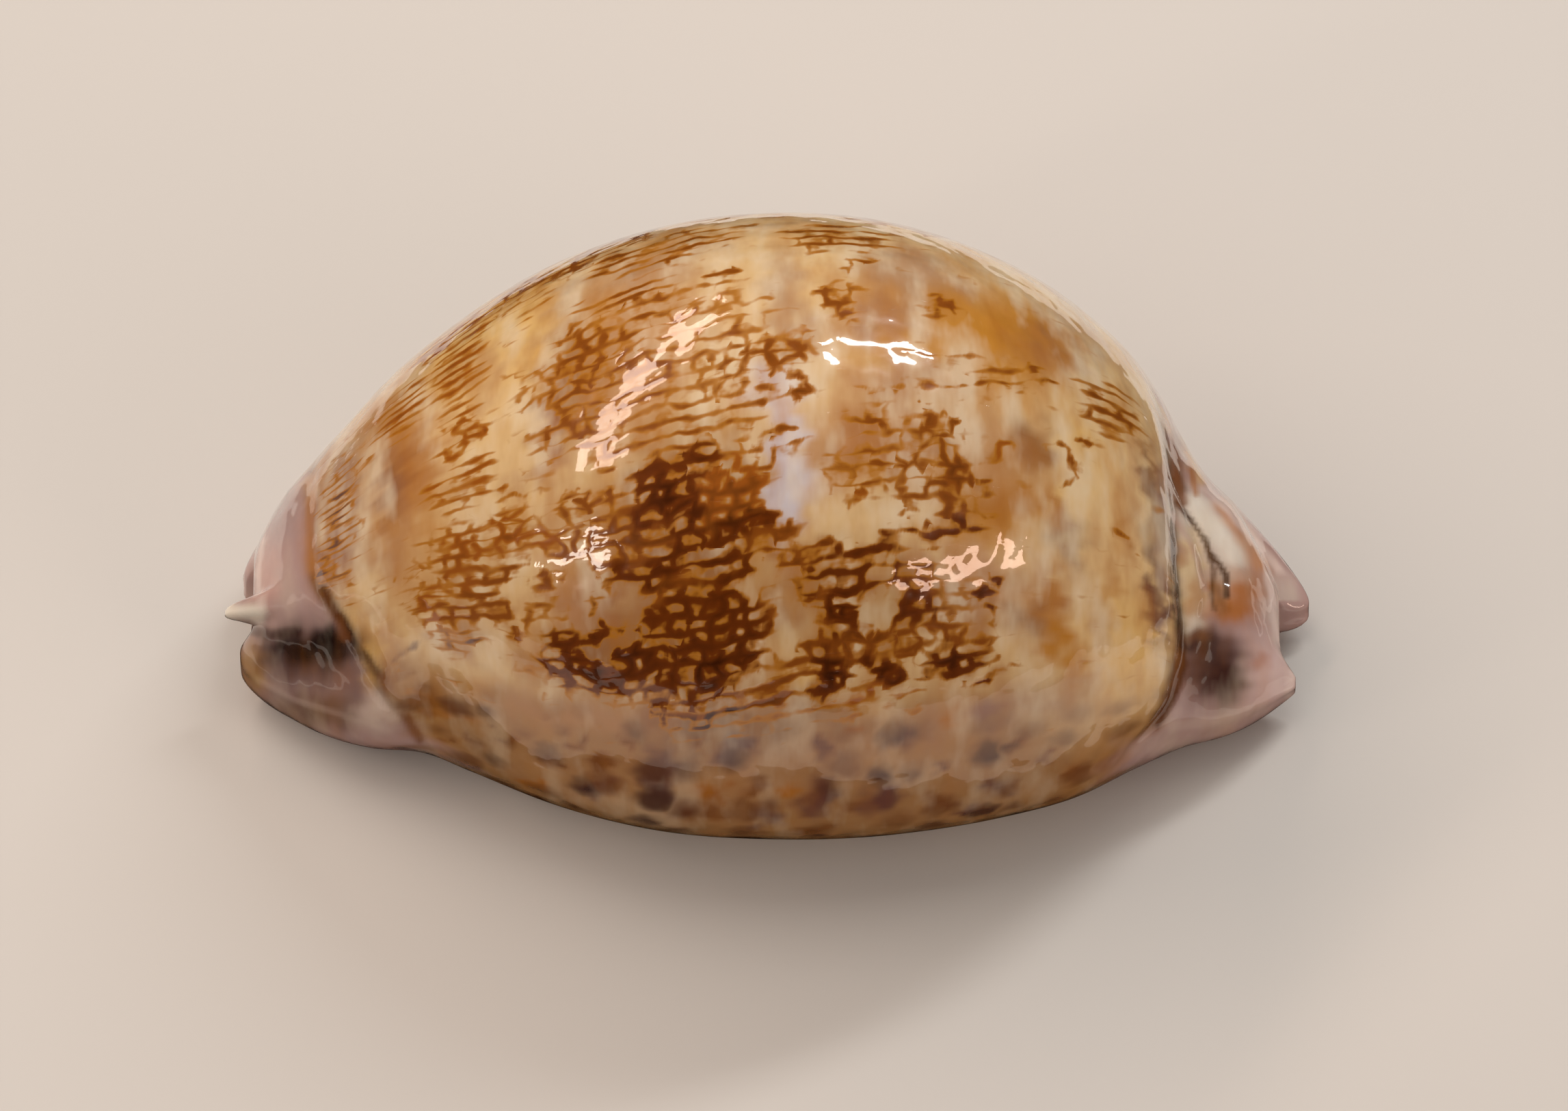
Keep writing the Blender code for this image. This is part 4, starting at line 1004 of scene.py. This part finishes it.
# In some places the net loosens into rounded cells.
cells = add(tree, "ShaderNodeTexVoronoi", {
    "Vector": quivered, "Scale": 1 / CELL_SIZE, "Randomness": 0.8,
}, feature="DISTANCE_TO_EDGE", voronoi_dimensions="2D")
cell_distance = calc(tree, "MULTIPLY", cells, CELL_SIZE)
loose = remap(noise(map_place, 0.22, 1.0), 0.48, 0.58, kind="SMOOTHSTEP")
loose_net = calc(tree, "MULTIPLY", loose, bar_share)
bar_or_cell = between(loose_net, bar_distance, cell_distance)
row_faded = calc(tree, "MULTIPLY_ADD", loose_net, 0.2, row_distance)
distance = calc(tree, "SMOOTH_MIN", row_faded, bar_or_cell, 0.3)

# How much ink there is: ragged at the edges, clotted in places and streaked along each line.
streak_place = add(tree, "ShaderNodeCombineXYZ", {
    0: calc(tree, "MULTIPLY", moved["X"], 0.4), 1: calc(tree, "MULTIPLY", row, ROW_SHUFFLE),
})
ragged_ink = calc(tree, "MULTIPLY_ADD", noise(map_place, 0.5, 2.0), 1.0, ink_amount)
streaked_ink = calc(tree, "MULTIPLY_ADD", noise(streak_place, 1.0, 1.0), 0.8, ragged_ink)
total_ink = calc(tree, "MAXIMUM", calc(tree, "SUBTRACT", streaked_ink, 0.9), 0.0)

# A line is darkest along its middle and grows wider and darker with more ink, and where there is
# much of it the enamel between the lines is stained too.
line_reach = remap(total_ink, 0.2, 1.1, 0.32, 0.52)
profile = remap(distance, 0.03, line_reach, 1.0, 0.0, kind="SMOOTHSTEP")
off_line = remap(noise(map_place, 0.75, 2.0), 0.36, 0.62, 0.08, 0.6)
darkness = calc(tree, "MULTIPLY", total_ink, between(profile, off_line, 1.0))
glow = remap(darkness, 0.16, 0.42, 0.0, 0.9, kind="SMOOTHSTEP")
line = remap(darkness, 0.34, 0.68, kind="SMOOTHSTEP")
depth = remap(darkness, 0.7, 1.5, 0.0, 0.8)

# Cloudy streaks in the ground, drawn out across the shell as the mantle's edge moved. They and
# the lumps are laid out in space, so that the map's squeezed ends don't draw them out.
per_mm = 1 / MM
inside = add(tree, "ShaderNodeTexCoord", give="Object")
cloudiness = read("cloudiness")


def clouds(scale_per_mm, detail, start, end, most):
    """How much of a cloud of noise lies here: none at the start, and the most past the end."""
    scales = [axis_scale * per_mm for axis_scale in scale_per_mm]
    laid = add(tree, "ShaderNodeMapping", {"Vector": inside, "Scale": scales})
    share = remap(noise(laid, 1.0, detail), start, end, 0.0, most)
    return calc(tree, "MULTIPLY", share, cloudiness)


streaked = read("ground", "Color")
for scale_per_mm, detail, start, end, most, hex_colour in (
    ((0.28, 0.14, 0.14), 4.0, 0.5, 0.7, 0.45, GOLD),
    ((0.17, 0.17, 0.17), 4.0, 0.53, 0.72, 0.35, LILAC),
    ((0.42, 0.16, 0.16), 3.0, 0.48, 0.68, 0.52, PALE_STREAK),
    ((0.42, 0.16, 0.16), 3.0, 0.48, 0.28, 0.45, AMBER),
):
    cloud = clouds(scale_per_mm, detail, start, end, most)
    streaked = mixed(cloud, streaked, linear(hex_colour))

# Spots crowd along the margins.
spots = add(tree, "ShaderNodeTexVoronoi", {
    "Vector": shifted(map_place, quiver, (1.2, 1.2, 0.0)), "Scale": 1 / SPOT_SPACING,
    "Randomness": 0.9, "Smoothness": 0.35,
}, feature="SMOOTH_F1", voronoi_dimensions="2D").node.outputs
spot_parts = add(tree, "ShaderNodeSeparateColor", {0: spots["Color"]}).node.outputs
spot_radius = calc(tree, "MULTIPLY_ADD", spot_parts["Red"], 0.3, 0.1)
from_spot = calc(tree, "SUBTRACT", spots["Distance"], spot_radius)
spot_edge = remap(from_spot, -0.25, 0.22, 0.9, 0.0, kind="SMOOTHSTEP")
spot_share = calc(tree, "MULTIPLY", spot_edge, read("margin"))
spot = calc(tree, "MULTIPLY", spot_share, remap(spot_parts["Blue"], 0.2, 0.8, 0.6, 1.0))
spot_colour = mixed(spot_parts["Green"], linear(BROWN), linear(SPOT_PURPLE))

glowing = mixed(glow, mixed(spot, streaked, spot_colour), linear(GLOW_AMBER))
line_colour = mixed(depth, read("ink colour", "Color"), linear(DEEP_BROWN))
colour = mixed(line, glowing, line_colour)

# The glaze is thinner over the lines, so it lies there in low rounded lumps. The clear coat gives
# the wet mirror of the lamps, and the rougher enamel under it a soft sheen.
LINE_DIP = -0.12
GLAZE_RELIEF = 0.16 * MM
lumps = noise(inside, 0.55 * per_mm, 0.6)
height = calc(tree, "MULTIPLY_ADD", darkness, LINE_DIP, lumps)
normal = add(tree, "ShaderNodeBump", {
    "Height": height, "Strength": 1.0, "Distance": GLAZE_RELIEF,
})
surface = add(tree, "ShaderNodeBsdfPrincipled", {
    "Base Color": colour, "Roughness": 0.22, "IOR": 1.5, "Specular IOR Level": 0.2,
    "Normal": normal, "Coat Normal": normal,
    "Coat Weight": 1.0, "Coat Roughness": 0.025, "Coat IOR": 1.5,
    "Subsurface Weight": 0.06, "Subsurface Radius": (1.0, 0.6, 0.35), "Subsurface Scale": 0.0006,
})
add(tree, "ShaderNodeOutputMaterial", {"Surface": surface})

bpy.context.view_layer.update()
graph = bpy.context.evaluated_depsgraph_get()
toothed_mesh = bpy.data.meshes.new_from_object(shell.evaluated_get(graph))
shell.modifiers.clear()
shell.data = toothed_mesh
shell.data.shade_smooth()
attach(shell, "root")
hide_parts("shell")

# ---------------------------------------------------------------------------------------------
# The studio
# A sheet of pale matt paper for a floor, soft boxes round the shell, and a camera at the
# photograph's angle.
# ---------------------------------------------------------------------------------------------

PAPER_COLOUR = "#cfcac3"
SKY_COLOUR = "#e6e8ec"
SKY_STRENGTH = 0.25

paper = bpy.data.materials.new("matt paper backdrop")
paper.use_nodes = True
paper_surface = paper.node_tree.nodes["Principled BSDF"]
paper_surface.inputs["Base Color"].default_value = linear(PAPER_COLOUR)
paper_surface.inputs["Roughness"].default_value = 0.9

# The paper is in three parts of one colour, because the glaze mirrors only one of them: the paper
# in front and a strip of it behind. The shell's own shade and the far floor aren't mirrored. Both
# guides give the distance in millimetres from a place under the shell, at angles in degrees.
PAPER_MIDDLE = (0.0, -12.0)
SHADE_RIM = (
    (0, 40.0), (16, 53.0), (45, 25.0), (90, 18.0), (140, 26.0), (170, 52.0), (187, 68.0),
    (197, 36.0), (222, 29.0), (272, 27.0), (316, 26.0), (347, 35.0), (360, 40.0),
)
FAR_PAPER_RIM = (
    (0, 60.0), (42, 57.0), (66, 92.0), (90, 74.0), (135, 75.0), (180, 78.0), (360, 60.0),
)
NEAR_PAPER_ANGLES = (186, 354)
NEAR_PAPER_RADIUS, FLOOR_RADIUS = 78.0, 2000.0
CORNERS = 96


def ring_on_floor(radii):
    """Corners on the floor, at the radii round the paper's middle."""
    return [
        ((PAPER_MIDDLE[0] + r * math.cos(t)) * MM, (PAPER_MIDDLE[1] + r * math.sin(t)) * MM, 0)
        for r, t in zip(radii, np.radians(bearings))
    ]


bearings = np.arange(CORNERS) * 360 / CORNERS
in_front = (bearings > NEAR_PAPER_ANGLES[0]) & (bearings < NEAR_PAPER_ANGLES[1])
paper_radii = np.where(in_front, NEAR_PAPER_RADIUS, through(FAR_PAPER_RIM, bearings))
shade_rim = ring_on_floor(through(SHADE_RIM, bearings))
paper_rim = ring_on_floor(paper_radii)
floor_rim = ring_on_floor(np.full(CORNERS, FLOOR_RADIUS))
following = [(i + 1) % CORNERS for i in range(CORNERS)]
around = [(i, i + CORNERS, j + CORNERS, j) for i, j in enumerate(following)]
for name, corners, faces, mirrored in (
    ("shade", shade_rim, [list(range(CORNERS))], False),
    ("paper", shade_rim + paper_rim, around, True),
    ("floor", paper_rim + floor_rim, around, False),
):
    stage_mesh = bpy.data.meshes.new(name)
    stage_mesh.from_pydata(corners, [], faces)
    stage_mesh.materials.append(paper)
    stage = bpy.data.objects.new(name, stage_mesh)
    stage.visible_glossy = mirrored
    bpy.context.scene.collection.objects.link(stage)

world = bpy.data.worlds.new("studio")
bpy.context.scene.world = world
world.use_nodes = True
world.cycles_visibility.glossy = False
sky = world.node_tree.nodes["Background"]
sky.inputs["Color"].default_value = linear(SKY_COLOUR)
sky.inputs["Strength"].default_value = SKY_STRENGTH
bpy.context.scene.view_settings.view_transform = "Standard"

# Soft boxes: (name, its two ends as azimuth and elevation, distance, width, watts, colour, whether
# the glaze mirrors it). The big ones only light the shell, and the strips are what it mirrors.
SOFT_BOXES = (
    ("overhead", (-170, 70), (-10, 85), 0.9, 0.6, 1.5, "#fffaf4", False),
    ("left front", (-75, 42), (-25, 42), 0.9, 0.5, 1.0, "#fff8f2", False),
    ("right fill", (45, 30), (80, 30), 0.9, 0.4, 0.7, "#fff8f2", False),
    ("warm strip", (-79, 35), (-164, 40), 0.5, 0.06, 1.0, "#ffe6d4", True),
    ("white strip", (160, 57), (130, 35), 0.5, 0.05, 0.8, "#ffffff", True),
    ("near strip", (34, 21), (72, 14), 0.5, 0.035, 0.4, "#ffd8c2", True),
    ("sparkle", (-62, 8), (-55, 22), 0.5, 0.04, 0.25, "#fff0e0", True),
)
LIT_MIDDLE = Vector((0, 0, 0.018))


def towards(azimuth, elevation):
    """The direction of an azimuth, counted from the near side, and an elevation, in degrees."""
    a, e = math.radians(azimuth), math.radians(elevation)
    return Vector((math.sin(a) * math.cos(e), -math.cos(a) * math.cos(e), math.sin(e)))


for name, one_end, other_end, box_distance, width, watts, hex_colour, mirrored in SOFT_BOXES:
    first, last = towards(*one_end) * box_distance, towards(*other_end) * box_distance
    long_side = (last - first).normalized()
    short_side = ((first + last) / 2).normalized().cross(long_side).normalized()
    lamp = bpy.data.lights.new(name, "AREA")
    lamp.shape = "RECTANGLE"
    lamp.size, lamp.size_y = (last - first).length, width
    lamp.energy = watts
    lamp.color = linear(hex_colour)[:3]
    box = bpy.data.objects.new(name, lamp)
    box.location = LIT_MIDDLE + (first + last) / 2
    box.rotation_mode = "QUATERNION"
    turned = Matrix((long_side, short_side, long_side.cross(short_side))).transposed()
    box.rotation_quaternion = turned.to_quaternion()
    box.visible_glossy = mirrored
    bpy.context.scene.collection.objects.link(box)

# The camera looks down at 54 degrees, across the shell. The photograph is 2293 pixels wide, the
# shell's middle is at column 1124, and its resting plane's centre line would be at row 952.
PHOTO_WIDTH, PHOTO_HEIGHT = 2293, 1624
PIXELS_PER_MM = 21.34
MIDDLE_COLUMN, RESTING_ROW = 1124, 952
CAMERA_DISTANCE = 0.9
SENSOR_WIDTH = 36
VIEWED_MIDDLE = Vector((0, 0, 0.016))
up = Vector((0, math.sin(VIEW_ELEVATION), math.cos(VIEW_ELEVATION)))
to_camera = Vector((0, -math.cos(VIEW_ELEVATION), math.sin(VIEW_ELEVATION)))
target = Vector(((PHOTO_WIDTH / 2 - MIDDLE_COLUMN) / PIXELS_PER_MM * MM, 0, 0))
target += up * ((RESTING_ROW - PHOTO_HEIGHT / 2) / PIXELS_PER_MM * MM)
target += to_camera * VIEWED_MIDDLE.dot(to_camera)
camera_data = bpy.data.cameras.new("camera")
camera = bpy.data.objects.new("camera", camera_data)
camera.location = target + to_camera * CAMERA_DISTANCE
camera.rotation_mode = "QUATERNION"
camera.rotation_quaternion = to_camera.to_track_quat("Z", "Y")
camera_data.sensor_width = SENSOR_WIDTH
camera_data.lens = SENSOR_WIDTH * CAMERA_DISTANCE / (PHOTO_WIDTH / PIXELS_PER_MM * MM)
camera_data.clip_end = 10
bpy.context.scene.collection.objects.link(camera)
bpy.context.scene.camera = camera

bpy.context.view_layer.update()
